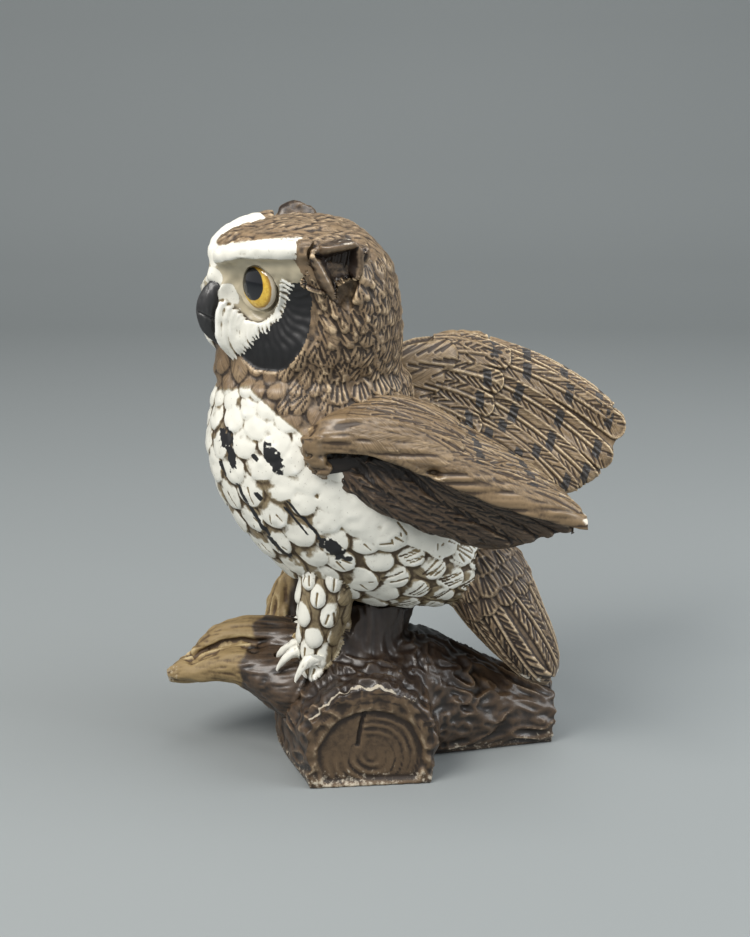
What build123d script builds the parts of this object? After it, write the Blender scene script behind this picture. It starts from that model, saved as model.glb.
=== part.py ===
from build123d import *
import math
import os

# Owl figurine in painted, slip-cast bisque: an owl with half-raised wings on a log.
# Every piece is cast or pressed by itself and luted to its neighbours with slip.
# Frame: millimetres, +Z up, the owl's breast faces -Y, its left wing is at +X.
# Origin: on the resting face, under the crossing of the log and the owl's mid-plane.

# ---- driving dimensions ----
WALL = 4.0            # thickness of the slip-cast walls
NECK_JOINT_Z = 141.0  # flat joint between torso and head
VENT_RADIUS = 5.0     # hole in the log's underside that lets air out of the shell in the kiln
VENT_PLACE = (-15.0, -6.0)
DRAIN_RADIUS = 4.0    # pour hole at a luted joint, hidden once joined

# Torso rings from the neck to the rump: (y, z, tilt of the spine, half depth, half width)
TORSO_RINGS = [
    (-23.0, 146.0, 0, 31.0, 27.0),
    (-23.0, 132.0, 8, 36.0, 31.0),
    (-22.5, 118.0, 20, 38.0, 34.0),
    (-14.5, 102.5, 35, 37.0, 35.0),
    (-2.5, 88.5, 48, 33.0, 32.0),
    (15.0, 77.0, 60, 24.5, 25.5),
    (33.0, 69.0, 68, 14.5, 16.5),
    (45.0, 64.5, 72, 7.0, 8.0),
]

# Head: place, turn towards the owl's left and roll, then level outlines
HEAD_CENTRE = (1.0, -20.0, 168.0)
HEAD_TURN = 18.0
HEAD_ROLL = 5.0
# (height, front, back, half width, cheek fullness), from the neck to the crown
HEAD_LEVELS = [
    (-34.0, 34.0, 28.0, 26.5, 0.72),
    (-24.0, 36.0, 28.0, 28.5, 0.70),
    (-15.0, 35.5, 28.0, 31.0, 0.66),
    (-4.0, 36.0, 27.5, 33.0, 0.58),
    (7.0, 36.5, 25.5, 33.5, 0.57),
    (15.5, 37.0, 22.5, 32.0, 0.70),
    (22.0, 34.0, 18.0, 28.0, 0.74),
    (26.0, 27.5, 12.5, 21.0, 0.74),
    (28.0, 14.5, 7.0, 11.0, 0.74),
]
# Features of the head as limbs through (y, x, z, radius), from front to back, in the head's own frame
BROW = [(-35.5, 1.5, 16.5, 3.4), (-30.0, 12.5, 20.0, 4.0), (-20.0, 22.0, 22.0, 4.3), (-8.5, 28.5, 22.5, 4.0)]
EAR_TUFT = [(-3.5, 26.0, 8.0, 10.0), (-1.0, 28.5, 16.0, 10.0), (2.5, 30.0, 22.5, 8.0), (4.5, 31.0, 26.5, 4.5)]
TUFT_FLATNESS = 0.5   # how thin a tuft is from side to side
EYE_PLACE = (11.0, -22.5, 6.5)
EYE_RADIUS = 6.6
EYE_SPLAY = 30.0
SOCKET_PLACE = (20.0, -31.5, 6.0)
SOCKET_RADIUS = 13.0
# The beak hooks down in the head's mid-plane: (y, z, radius)
BEAK = [
    (-31.5, 6.5, 3.0),
    (-36.2, 4.0, 3.9),
    (-38.4, -0.5, 4.0),
    (-38.6, -5.5, 3.3),
    (-37.2, -9.8, 2.1),
    (-35.4, -12.6, 0.9),
]

# Tail rings from the rump to the tip: (y, z, tilt, half depth, half width)
TAIL_RINGS = [
    (33.0, 76.0, 24, 12.0, 14.0),
    (41.5, 62.0, 29, 15.5, 17.5),
    (50.5, 48.0, 31, 12.5, 19.0),
    (59.5, 34.5, 32, 8.5, 17.0),
    (63.0, 29.0, 32, 5.0, 13.5),
]

# Wing ribs: (y, outer edge x and z, inner edge x and z, thickness, arch)
LEFT_WING_RIBS = [
    (-23.0, 36.0, 119.5, 27.0, 122.0, 7.0, 1.0),
    (-15.0, 39.5, 124.5, 17.0, 129.0, 10.0, 3.0),
    (0.0, 42.5, 124.5, 7.0, 131.0, 10.5, 4.5),
    (16.0, 45.5, 119.0, 4.0, 126.5, 10.0, 6.0),
    (34.0, 47.5, 111.0, 4.0, 117.0, 8.5, 6.0),
    (52.0, 47.5, 104.5, 12.0, 108.5, 7.5, 4.0),
    (64.0, 46.5, 100.0, 27.0, 103.0, 5.5, 2.0),
    (71.0, 46.0, 98.0, 38.0, 99.5, 3.2, 0.5),
]
LEFT_LINING_RIBS = [
    (-21.5, 33.5, 121.0, 28.5, 110.0, 7.5, 0.5),
    (-12.0, 36.0, 124.0, 31.0, 105.0, 9.0, 2.0),
    (6.0, 38.0, 123.0, 32.0, 96.0, 9.0, 3.0),
    (24.0, 39.5, 117.0, 30.0, 88.5, 8.5, 3.0),
    (42.0, 39.5, 110.0, 27.0, 83.5, 7.0, 2.0),
    (56.0, 40.5, 104.0, 34.0, 89.5, 5.0, 1.0),
    (67.0, 43.0, 99.5, 41.0, 93.5, 3.0, 0.3),
]
RIGHT_WING_RIBS = [
    (2.0, -25.0, 141.0, -22.0, 113.0, 12.0, -1.0),
    (14.0, -27.0, 148.0, -21.0, 105.0, 12.0, -2.0),
    (32.0, -35.0, 149.5, -24.0, 97.0, 10.0, -3.0),
    (52.0, -42.0, 144.0, -29.0, 90.0, 8.5, -3.5),
    (72.0, -46.5, 134.5, -34.0, 86.5, 7.0, -3.0),
    (87.0, -48.0, 124.5, -41.0, 93.0, 5.5, -1.5),
    (97.0, -47.5, 114.0, -45.0, 103.0, 3.2, -0.5),
]

# Legs and toes, one side: (x, y, z, radius); the other side is mirrored
LEG = [
    (14.0, -13.0, 80.0, 12.0),
    (14.5, -17.5, 64.0, 10.5),
    (14.5, -19.5, 52.0, 8.6),
    (14.0, -20.5, 42.0, 7.2),
    (14.0, -21.0, 34.0, 6.5),
]
TOES = [
    [(11.0, -22.5, 43.0, 3.4), (9.5, -29.0, 42.5, 2.7), (8.5, -33.5, 39.5, 2.1), (8.0, -36.0, 35.0, 0.9)],
    [(15.0, -23.0, 42.5, 3.5), (16.0, -29.0, 42.0, 2.8), (16.5, -33.0, 39.0, 2.1), (16.5, -35.6, 34.5, 0.9)],
    [(18.5, -19.0, 41.0, 3.5), (20.5, -23.0, 41.0, 2.9), (21.8, -26.5, 37.5, 2.1), (22.8, -28.8, 32.5, 0.9)],
]

# Log: the sawn stub along X, the stump that carries the owl, and the low limb behind
STUB = [
    (38.0, -1.5, 14.0, 23.0),
    (24.0, -3.0, 14.5, 26.0),
    (6.0, -6.0, 14.0, 29.5),
    (-16.0, -8.0, 13.0, 30.5),
    (-36.0, -8.0, 12.0, 24.0),
]
STUMP = [
    (-4.0, -10.0, -6.0, 27.0),
    (-4.0, -11.0, 12.0, 27.0),
    (-2.0, -11.0, 28.0, 25.0),
    (-1.0, -5.0, 44.0, 18.0),
    (-1.0, 3.0, 60.0, 13.0),
]
REAR_LIMB = [
    (-2.0, 2.0, 18.0, 26.0),
    (-5.0, 18.0, 17.0, 24.5),
    (-8.0, 36.0, 11.0, 20.0),
    (-11.0, 52.0, 7.5, 17.0),
    (-13.0, 65.0, 6.0, 15.5),
]
FOOT_DROP = 9.5   # the stub is drawn twice, the second time this much lower, so its flanks run straight down
SNAG = [
    (-26.0, -22.0, 24.0, 13.0),
    (-29.0, -32.5, 34.0, 11.5),
    (-30.0, -33.0, 44.0, 8.8),
    (-30.0, -31.0, 54.0, 6.0),
    (-29.5, -29.0, 60.5, 4.0),
]
# Torn branch at the front: a lower and an upper splinter, drawn as flattened tubes
BRANCH_LOWER = [
    (2.0, -26.0, 28.0, 13.0),
    (2.0, -43.0, 30.0, 9.8),
    (1.0, -54.0, 31.5, 6.8),
    (0.5, -65.0, 29.5, 5.3),
    (0.0, -72.0, 28.0, 4.0),
    (0.0, -76.5, 26.6, 2.3),
]
BRANCH_UPPER = [
    (-9.0, -28.0, 34.0, 11.0),
    (-9.0, -41.0, 39.0, 7.2),
    (-8.0, -50.0, 40.5, 5.4),
    (-7.0, -57.0, 39.5, 4.6),
    (-5.0, -65.0, 35.0, 3.2),
    (-3.0, -72.0, 30.5, 1.8),
]
SPLINTER_DEPTH = 1.35  # how much deeper than tall the splinters are, along X


def ring_plane(y, z, tilt):
    """A plane square to the spine, which leans back from straight down by tilt degrees."""
    lean = math.radians(tilt)
    return Plane(origin=(0, y, z), x_dir=(1, 0, 0), z_dir=(0, math.sin(lean), -math.cos(lean)))


def barrel(rings, shrink=0.0):
    """A body of elliptic rings; shrink makes the hollow inside it."""
    faces = []
    for y, z, tilt, deep, wide in rings:
        faces.append(ring_plane(y, z, tilt) * Ellipse(wide - shrink, deep - shrink))
    return loft(faces)


def limb(stations, widen=1.0):
    """A tapering round limb through stations (x, y, z, radius)."""
    places = [Vector(*s[:3]) for s in stations]
    faces = []
    for i, station in enumerate(stations):
        ahead = places[min(i + 1, len(places) - 1)]
        behind = places[max(i - 1, 0)]
        along = (ahead - behind).normalized()
        side = Vector(1, 0, 0) if abs(along.X) < 0.9 else Vector(0, 1, 0)
        across = (side - along * side.dot(along)).normalized()
        across_plane = Plane(origin=places[i], x_dir=across, z_dir=along)
        faces.append(across_plane * Ellipse(station[3] * widen, station[3]))
    return loft(faces)


def plate(ribs):
    """A curved wing plate through upright ribs, each a thick arched strip from outer to inner edge."""
    faces = []
    for y, outer_x, outer_z, inner_x, inner_z, thick, arch in ribs:
        outer, inner = Vector(outer_x, y, outer_z), Vector(inner_x, y, inner_z)
        along = inner - outer
        up = Vector(0, 1, 0).cross(along).normalized()
        if up.Z < 0:
            up = up * -1
        half = thick / 2
        spots = [(0.0, 0.0, -0.55), (0.10, 0.30, 0.75), (0.50, 1.0, 1.0), (0.90, 0.30, 0.75),
                 (1.0, 0.0, 0.0), (0.90, 0.30, -0.75), (0.50, 1.0, -1.0), (0.10, 0.30, -0.95)]
        points = [outer + along * t + up * (arch * rise + half * side) for t, rise, side in spots]
        faces.append(make_face(Spline(*points, periodic=True)))
    return loft(faces)


def head_blank(levels, shrink=0.0):
    """The skull with its wedge of a face, in the head's own frame, facing -Y."""
    faces = []
    for height, front, back, wide, cheek in levels:
        f, b, w = front - shrink, back - shrink, wide - shrink
        half = [
            (0, -f),
            (w * cheek * 0.82, -f * 0.66),
            (w * (cheek + 0.26), -f * 0.22),
            (w, b * 0.22),
            (w * 0.72, b * 0.78),
        ]
        points = half + [(0, b)] + [(-x, y) for x, y in reversed(half[1:])]
        faces.append(Plane.XY.offset(height) * make_face(Spline(*points, periodic=True)))
    return loft(faces)


def in_head(shape):
    """Moves a shape from the head's own frame to its place on the owl."""
    return Pos(*HEAD_CENTRE) * Rot(0, HEAD_ROLL, HEAD_TURN) * shape


def both_sides(stations):
    """The same stations on the owl's left and on its right."""
    return stations, [(-s[0], *s[1:]) for s in stations]


def swap(stations):
    """Head stations are listed (y, x, z, radius), front first."""
    return [(x, y, z, r) for y, x, z, r in stations]


def half_space(level, above):
    """A large block that ends at a level plane."""
    size = 400.0
    return Pos(0, 0, level + (size / 2 if above else -size / 2)) * Box(size, size, size)


def cut(shape, *others):
    """The largest solid left of a shape once the others are taken from it."""
    for other in others:
        left = shape - other
        shape = max(left.solids(), key=lambda solid: solid.volume)
    return shape


def save(shape, name):
    """Writes one node; a shape of several solids stays one node."""
    export_step(Compound(children=list(shape.solids())), f"parts/{name}.step")


os.makedirs("parts", exist_ok=True)

# ---- outer shapes ----
torso_outer = barrel(TORSO_RINGS) & half_space(NECK_JOINT_Z, above=False)
skull = head_blank(HEAD_LEVELS)
for side in both_sides(swap(BROW)):
    skull += limb(side)
head_outer = in_head(skull) & half_space(NECK_JOINT_Z, above=True)
stub_foot = limb([(x, y, z - FOOT_DROP, r - 1.0) for x, y, z, r in STUB])
log_outer = limb(STUB) + stub_foot + limb(STUMP) + limb(REAR_LIMB) + limb(SNAG)
log_outer = (log_outer & half_space(0, above=True)) - torso_outer

# ---- torso and head shells, hollow, joined through a pour hole at the neck ----
torso_hollow = barrel(TORSO_RINGS[:-1], shrink=WALL) & half_space(NECK_JOINT_Z - WALL, above=False)
neck_hole = Pos(0, -20, NECK_JOINT_Z) * Cylinder(DRAIN_RADIUS, 4 * WALL)
torso = cut(torso_outer, torso_hollow, neck_hole)
head_hollow = in_head(head_blank(HEAD_LEVELS[:-2], shrink=WALL * 1.6))
head_hollow &= half_space(NECK_JOINT_Z + WALL, above=True)
head = cut(head_outer, head_hollow, neck_hole)

# ---- eyes, beak and ear tufts, pressed by hand and luted to the head ----
tufts = [in_head(limb(side, widen=TUFT_FLATNESS)) for side in both_sides(swap(EAR_TUFT))]
eyes = []
sockets = []
for sign in (1, -1):
    x, y, z = SOCKET_PLACE
    sockets.append(in_head(Pos(sign * x, y, z) * Sphere(SOCKET_RADIUS)))
    x, y, z = EYE_PLACE
    ball = Pos(sign * x, y, z) * Rot(0, 0, sign * EYE_SPLAY) * (
        Sphere(EYE_RADIUS) & (Pos(0, -EYE_RADIUS, 0) * Box(30, 2 * EYE_RADIUS, 30)))
    eyes.append(in_head(ball))
beak_raw = in_head(limb([(0, y, z, r) for y, z, r in BEAK], widen=0.85))
head = cut(head, *sockets, *eyes)
beak = cut(beak_raw, head)
tufts = [cut(tuft, head) for tuft in tufts]

# ---- wings, tail and legs ----
left_wing = cut(plate(LEFT_WING_RIBS), torso_outer, head_outer)
left_lining = cut(plate(LEFT_LINING_RIBS), torso_outer, left_wing)
right_wing = cut(plate(RIGHT_WING_RIBS), torso_outer, head_outer)
tail = cut(barrel(TAIL_RINGS), torso_outer, left_wing, right_wing, log_outer)
legs = [cut(limb(side), torso_outer, log_outer) for side in both_sides(LEG)]
toes_left, toes_right = [
    [cut(limb([(sign * x, y, z, r) for x, y, z, r in toe]), log_outer, leg) for toe in TOES]
    for sign, leg in zip((1, -1), legs)
]
feet = [Compound(children=toes_left), Compound(children=toes_right)]

# ---- log shell and torn branch ----
log_hollow = limb([(x, y, z, r - 1.9 * WALL) for x, y, z, r in STUB[1:-1]]) & half_space(WALL, above=True)
vent = Pos(*VENT_PLACE, 0) * Cylinder(VENT_RADIUS, 4 * WALL)
log_base = cut(log_outer, log_hollow, vent)
branch = limb(BRANCH_LOWER, SPLINTER_DEPTH) + limb(BRANCH_UPPER, SPLINTER_DEPTH)
branch = cut(branch, log_outer, *legs, *toes_left, *toes_right)

save(torso, "torso_shell")
save(head, "head_shell")
save(beak, "beak")
save(log_base, "log_base")
save(branch, "torn_branch")
save(tail, "tail")
save(left_wing, "left_wing")
save(left_lining, "left_wing_lining")
save(right_wing, "right_wing")
for index, side in enumerate(("left", "right")):
    save(eyes[index], f"{side}_eye")
    save(tufts[index], f"{side}_ear_tuft")
    save(legs[index], f"{side}_leg")
    save(feet[index], f"{side}_toes")
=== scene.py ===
import math
import random
import types

import bmesh
import bpy
import numpy as np
from mathutils import Matrix, Vector
from mathutils.bvhtree import BVHTree
from mathutils.kdtree import KDTree


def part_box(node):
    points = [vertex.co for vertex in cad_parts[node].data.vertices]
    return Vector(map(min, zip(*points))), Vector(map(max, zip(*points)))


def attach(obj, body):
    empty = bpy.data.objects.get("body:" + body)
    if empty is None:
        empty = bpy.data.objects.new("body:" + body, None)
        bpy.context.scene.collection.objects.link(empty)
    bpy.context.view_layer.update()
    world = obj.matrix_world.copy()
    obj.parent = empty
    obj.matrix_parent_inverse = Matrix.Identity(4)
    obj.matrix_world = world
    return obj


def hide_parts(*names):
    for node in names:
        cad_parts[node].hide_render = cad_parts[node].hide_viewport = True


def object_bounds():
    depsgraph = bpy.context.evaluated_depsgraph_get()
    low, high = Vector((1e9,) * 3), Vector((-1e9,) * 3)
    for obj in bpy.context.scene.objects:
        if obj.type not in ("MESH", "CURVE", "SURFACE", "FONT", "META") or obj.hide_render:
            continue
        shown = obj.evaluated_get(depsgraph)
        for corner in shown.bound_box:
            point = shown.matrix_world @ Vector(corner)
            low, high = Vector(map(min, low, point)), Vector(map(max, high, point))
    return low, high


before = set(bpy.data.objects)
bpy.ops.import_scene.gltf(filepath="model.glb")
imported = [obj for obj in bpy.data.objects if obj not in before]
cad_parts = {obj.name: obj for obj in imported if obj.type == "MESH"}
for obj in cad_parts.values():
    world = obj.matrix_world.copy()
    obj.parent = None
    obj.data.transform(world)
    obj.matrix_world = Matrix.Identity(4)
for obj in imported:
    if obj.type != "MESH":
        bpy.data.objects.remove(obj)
cad_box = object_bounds()

MM = 0.001
ROUGH_CUT = 1.0   # coarser clay while trying things out
LEFT, RIGHT = 1, -1                      # the owl's own left is +X

# The head's own axes: turned to the owl's left and tipped a little
HEAD_HEART = np.array([1.0, -20.0, 168.0])
HEAD_TURN, HEAD_ROLL = math.radians(18.0), math.radians(5.0)
HEAD_AXES = np.array(Matrix.Rotation(HEAD_ROLL, 3, "Y") @ Matrix.Rotation(HEAD_TURN, 3, "Z"))
EYE_HEART = np.array([11.0, -22.5, 6.5])
EYE_RADIUS = 7.7
EYE_SPLAY = math.radians(30.0)
EAR_HOLLOW = np.array([(-12.5, 23.5), (6.0, 26.0), (6.5, 17.0), (1.5, 2.0), (-3.5, 6.0)])
FACE_RADIUS = 31.0                       # the face is laid out flat around a drum of this size

# The torso's spine from the neck to the rump: y, z and how far it leans back, in degrees
SPINE = np.array([
    (-23.0, 146.0, 0.0), (-23.0, 132.0, 8.0), (-22.5, 118.0, 20.0), (-14.5, 102.5, 35.0),
    (-2.5, 88.5, 48.0), (15.0, 77.0, 60.0), (33.0, 69.0, 68.0), (45.0, 64.5, 72.0),
])
TAIL_SPINE = np.array([
    (33.0, 76.0, 24.0), (41.5, 62.0, 29.0), (50.5, 48.0, 31.0), (59.5, 34.5, 32.0), (63.0, 29.0, 32.0),
])


# ---------------------------------------------------------------- small helpers

def unit(vector):
    """A vector's direction."""
    vector = np.asarray(vector, float)
    return vector / max(np.linalg.norm(vector), 1e-9)


def ease(value, low, high):
    """0 below low, 1 above high, and a smooth slope between."""
    t = np.clip((value - low) / (high - low), 0.0, 1.0)
    return t * t * (3.0 - 2.0 * t)


def lumps(points, size, seed=0):
    """Smooth noise from -1 to 1 with bumps of about the given size; size may differ by axis."""
    spots = np.asarray(points, float) / np.asarray(size, float) + 37.7 * (seed + 1)
    base = np.floor(spots).astype(np.int64)
    part = spots - base
    part = part * part * (3.0 - 2.0 * part)
    total = np.zeros(len(spots))
    for corner in range(8):
        step = np.array([corner & 1, corner >> 1 & 1, corner >> 2 & 1])
        cell = base + step
        code = (cell[:, 0] * 73856093) ^ (cell[:, 1] * 19349663) ^ (cell[:, 2] * 83492791)
        code = (code ^ (code >> 13)) * 1274126177 & 0x7FFFFFFF
        value = (code >> 8 & 0xFFFF) / 32767.5 - 1.0
        weight = np.prod(np.where(step == 1, part, 1.0 - part), axis=1)
        total += value * weight
    return total


def to_head(points):
    """Points of the owl in the head's own frame."""
    return (np.asarray(points) - HEAD_HEART) @ HEAD_AXES


def from_head(points):
    """Points of the head's own frame back in the owl's."""
    return np.asarray(points) @ HEAD_AXES.T + HEAD_HEART


# ---------------------------------------------------------------- feathers

class Feather:
    """One laid feather: where it grows, where its tip is, and how it is cut."""

    def __init__(self, root, tip, up, width, thick, kind="plain", **cut):
        root, tip = np.asarray(root, float), np.asarray(tip, float)
        self.root, self.width, self.thick, self.kind = root, width, thick, kind
        self.length = np.linalg.norm(tip - root)
        self.along = (tip - root) / self.length
        up = np.asarray(up, float)
        self.up = unit(up - self.along * (up @ self.along))
        self.across = np.cross(self.up, self.along)
        self.sag = cut.get("sag", 0.0)              # sideways bow at mid length
        self.blunt = cut.get("blunt", 1.0)          # length of the rounded tip, in half widths
        self.waist = cut.get("waist", 0.6)          # width at the root against the full width
        self.low = cut.get("low", 0.25)             # height at the root against the tip's
        self.round = cut.get("round", 0.5)          # 0.5 is a full dome, 0.15 nearly flat
        self.tilt = cut.get("tilt", 0.0)            # one edge lies higher than the other
        self.shaft = cut.get("shaft", 0.0)          # depth of the two grooves beside the shaft
        self.rim = cut.get("rim", 0.0)              # height of the rolled edge
        self.cuts = cut.get("cuts", ())             # tool cuts: along and across at the start and at the end
        self.depth = cut.get("depth", 0.6)          # how deep the tool went
        self.nib = cut.get("nib", 0.42)             # how wide the tool was
        self.bars = cut.get("bars", ())             # painted bars, as parts of the length
        self.reach = cut.get("reach", 8.0)          # how far off its plane the skin may be
        self.lift = cut.get("lift", 0.0)            # laid this much above its neighbours


def fan_cuts(chance, length, width, count, start=0.4, end=0.97):
    """Cuts that run to a feather's tip and spread a little."""
    cuts = []
    for number in range(count):
        side = ((number + 0.5) / count * 2.0 - 1.0) * width * 0.82 + chance.uniform(-0.25, 0.25)
        begin = length * (start + chance.uniform(-0.08, 0.12))
        stop = length * (end - 0.22 * abs(side / width) - chance.uniform(0.0, 0.08))
        cuts.append((begin, side * 0.55, stop, side))
    return cuts


BARBS_FROM, BARBS_TO = 0.08, 0.93  # the stretch of a shaft that has barbs


def barb_cuts(chance, length, width, pitch, slant=2.1, skip=0.15):
    """Slanting cuts on both sides of a shaft, uneven as a hand makes them."""
    cuts = []
    for side in (-1.0, 1.0):
        spot = length * BARBS_FROM
        while spot < length * BARBS_TO:
            spot += pitch * chance.uniform(0.6, 1.45)
            if chance.random() < skip:
                continue
            inner, outer = chance.uniform(1.2, 1.9), width * chance.uniform(0.72, 0.98)
            if outer > inner + 0.4:
                cuts.append((spot, side * inner, spot + (outer - inner) * slant * chance.uniform(0.75, 1.3),
                             side * outer))
    return cuts


def tool_marks(along, across, cuts, nib):
    """How deep each place lies in straight tool cuts, and how high on the burr beside them, from 0 to 1."""
    deep, burr = np.zeros(len(along)), np.zeros(len(along))
    for start_along, start_across, end_along, end_across in cuts:
        run, rise = end_along - start_along, end_across - start_across
        part = ((along - start_along) * run + (across - start_across) * rise) / (run * run + rise * rise)
        part = np.clip(part, 0.0, 1.0)
        away = np.hypot(along - start_along - part * run, across - start_across - part * rise)
        deep = np.maximum(deep, np.exp(-(away / nib) ** 2) * (1.0 - 0.35 * part))
        burr = np.maximum(burr, np.exp(-((away - 1.9 * nib) / nib) ** 2))
    return deep, burr * (1.0 - deep)


class Clay:
    """A lump with an even skin of small facets, carved in millimetres and then painted."""

    def __init__(self, name, lump, grain):
        self.name, self.grain = name, grain
        self.cast(lump)

    def cast(self, lump):
        """Gives a lump an even skin, and forgets what was carved and painted before."""
        draft = bpy.data.meshes.new(self.name)
        lump.to_mesh(draft)
        lump.free()
        block = bpy.data.objects.new(self.name, draft)
        bpy.context.scene.collection.objects.link(block)
        skin = block.modifiers.new("even_skin", "REMESH")
        skin.mode = "VOXEL"
        skin.voxel_size = self.grain * ROUGH_CUT * MM
        skin.use_smooth_shade = True
        evaluated = block.evaluated_get(bpy.context.evaluated_depsgraph_get())
        self.mesh = bpy.data.meshes.new_from_object(evaluated)
        self.mesh.name = self.name
        bpy.data.objects.remove(block)
        self.count = len(self.mesh.vertices)
        points = np.empty(self.count * 3, np.float32)
        self.mesh.vertices.foreach_get("co", points)
        self.points = points.reshape(-1, 3).astype(float) / MM
        links = np.empty(len(self.mesh.edges) * 2, np.int32)
        self.mesh.edges.foreach_get("vertices", links)
        self.links = links.reshape(-1, 2)
        self.degree = np.maximum(np.bincount(links, minlength=self.count), 1)
        self.marks = {}
        self.bare()

    def recast(self):
        """Evens out the skin of a lump whose outline was changed."""
        self.normals()
        lump = bmesh.new()
        lump.from_mesh(self.mesh)
        self.cast(lump)

    def bare(self):
        """Forgets the feathers laid so far."""
        self.height = np.zeros(self.count)
        self.cover = np.zeros(self.count)
        self.along = np.zeros(self.count)
        self.across = np.zeros(self.count)
        self.tone = np.full(self.count, 0.5)
        self.edge = np.zeros(self.count)
        self.deep = np.zeros(self.count)
        self.bar = np.full(self.count, -1.0)
        self.kind = np.full(self.count, "", dtype="U12")

    def blur(self, values, rounds):
        """Averages every point with its neighbours, round after round."""
        a, b = self.links.T
        out = np.array(values, float).reshape(self.count, -1)
        for _ in range(rounds):
            for column in range(out.shape[1]):
                value = out[:, column]
                total = np.bincount(a, value[b], self.count) + np.bincount(b, value[a], self.count)
                out[:, column] = 0.5 * value + 0.5 * total / self.degree
        return out.reshape(np.shape(values))

    def soften(self, rounds):
        """Rounds the whole lump off."""
        self.points = self.blur(self.points, rounds)

    def normals(self):
        """Outward directions of the skin as it is now."""
        self.mesh.vertices.foreach_set("co", (self.points * MM).ravel())
        self.mesh.update()
        out = np.empty(self.count * 3, np.float32)
        self.mesh.vertex_normals.foreach_get("vector", out)
        return out.reshape(-1, 3).astype(float)

    def push(self, amount):
        """Moves the skin outwards by an amount at each point."""
        self.points += self.normals() * np.broadcast_to(amount, self.count)[:, None]

    def tree(self):
        """A search tree of the skin, in millimetres."""
        faces = [tuple(face.vertices) for face in self.mesh.polygons]
        return BVHTree.FromPolygons(self.points.tolist(), faces)

    def lay(self, feathers):
        """Lays overlapping feathers on the skin; where several cover a point, the highest wins."""
        normals = self.normals()
        for number, f in enumerate(feathers):
            along = (self.points - f.root) @ f.along
            near = np.flatnonzero((along > -0.02 * f.length) & (along < f.length))
            rel = self.points[near] - f.root
            t = along[near] / f.length
            across = rel @ f.across - f.sag * 4.0 * t * (1.0 - t)
            body = f.width * (f.waist + (1.0 - f.waist) * ease(t, 0.0, 0.5))
            cap = min(f.blunt * f.width / f.length, 0.9)
            end = np.clip((t - (1.0 - cap)) / cap, 0.0, None)
            reach = (across / body) ** 2 + end ** 2
            inside = (reach < 1.0) & (np.abs(rel @ f.up) < f.reach) & (normals[near] @ f.up > 0.0)
            near, t, across, body, reach = (part[inside] for part in (near, t, across, body, reach))
            dome = (1.0 - reach) ** f.round
            height = f.thick * (f.low + (1.0 - f.low) * t) * dome + f.lift * ease(t, 0.0, 0.3)
            height += f.tilt * across / f.width
            if f.shaft:
                line = np.exp(-((np.abs(across) - 0.95) / 0.42) ** 2) - 0.6 * np.exp(-(across / 0.5) ** 2)
                height -= f.shaft * line * (1.0 - ease(t, 0.84, 0.95))
            edge = (1.0 - np.sqrt(reach)) * body
            if f.rim:
                height += f.rim * np.exp(-((edge - 0.6) / 0.5) ** 2)
            whole = height.copy()
            deep, burr = tool_marks(t * f.length, across, f.cuts, f.nib)
            height += f.depth * (0.3 * burr - deep)
            won = whole > self.cover[near]
            near, t, across = near[won], t[won], across[won]
            self.height[near] = height[won]
            self.cover[near] = whole[won]
            self.edge[near] = edge[won]
            self.deep[near] = deep[won]
            self.along[near] = t * f.length
            self.across[near] = across
            self.tone[near] = (number * 0.61803) % 1.0
            self.kind[near] = f.kind
            self.bar[near] = -1.0
            for place in f.bars:
                far = np.maximum(np.abs((t - place) * f.length + 0.35 * across) / 1.8,
                                 np.abs(across - 0.4) / min(3.0, 0.68 * f.width))
                self.bar[near] = np.maximum(self.bar[near], 1.0 - far)

    def carve(self, settle=0.0):
        """Raises the laid feathers out of the skin and notes which places are deep or high."""
        height = self.blur(self.height, 1)
        self.push(height - settle)
        self.note_relief(height)

    def note_relief(self, height, reach=10, full=0.5):
        """Marks how far each place stands above or below its surroundings, from -1 to 1."""
        local = height - self.blur(height, int(reach / ROUGH_CUT ** 2) + 1)
        self.marks["relief"] = np.clip(local / full - 0.6 * self.deep ** 1.4, -1.0, 1.0)

    def tuck(self, *nodes, depth=2.0):
        """Sinks the luted faces into the neighbouring pieces, so that no joint stands open."""
        normals = self.normals()
        sink = np.zeros(self.count)
        for node in nodes:
            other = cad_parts[node].data
            corners = [vertex.co / MM for vertex in other.vertices]
            tree = BVHTree.FromPolygons(corners, [tuple(face.vertices) for face in other.polygons])
            low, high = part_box(node)
            low, high = np.array(low) / MM - 1.0, np.array(high) / MM + 1.0
            close = np.flatnonzero(np.all((self.points > low) & (self.points < high), axis=1))
            for index in close:
                spot, facing, _, _ = tree.find_nearest(Vector(self.points[index]), 1.0)
                if spot is not None and facing @ Vector(normals[index]) < -0.3:
                    sink[index] = depth
        sink = self.blur(sink, 2)
        self.points += normals * sink[:, None]
        return sink > 0.25 * depth

    def finished_mesh(self, material):
        """The carved and painted mesh, with its marks for the material."""
        low, high = (np.array(corner) / MM for corner in cad_box)
        self.points = np.clip(self.points, low, high)
        self.normals()
        lay = np.stack([self.along, self.across, self.tone], axis=1)
        bare = np.full(self.count, -1.0)
        paints = np.stack([self.marks.get(paint, bare) for paint in ("white", "black", "tan")], axis=1)
        for name, values in (("lay", lay), ("paints", paints)):
            self.mesh.attributes.new(name, "FLOAT_VECTOR", "POINT").data.foreach_set(
                "vector", values.astype(np.float32).ravel())
        for name, values in (("relief", self.marks["relief"]), ("bar", self.bar),
                             ("worn", self.marks.get("worn", bare))):
            self.mesh.attributes.new(name, "FLOAT", "POINT").data.foreach_set(
                "value", values.astype(np.float32))
        self.mesh.materials.clear()
        self.mesh.materials.append(material)
        self.mesh.shade_smooth()
        return self.mesh

    def finish(self, material, slot, nodes):
        """Makes the carved lump a piece of the model."""
        return place(self.name, self.finished_mesh(material), slot, nodes)


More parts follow.
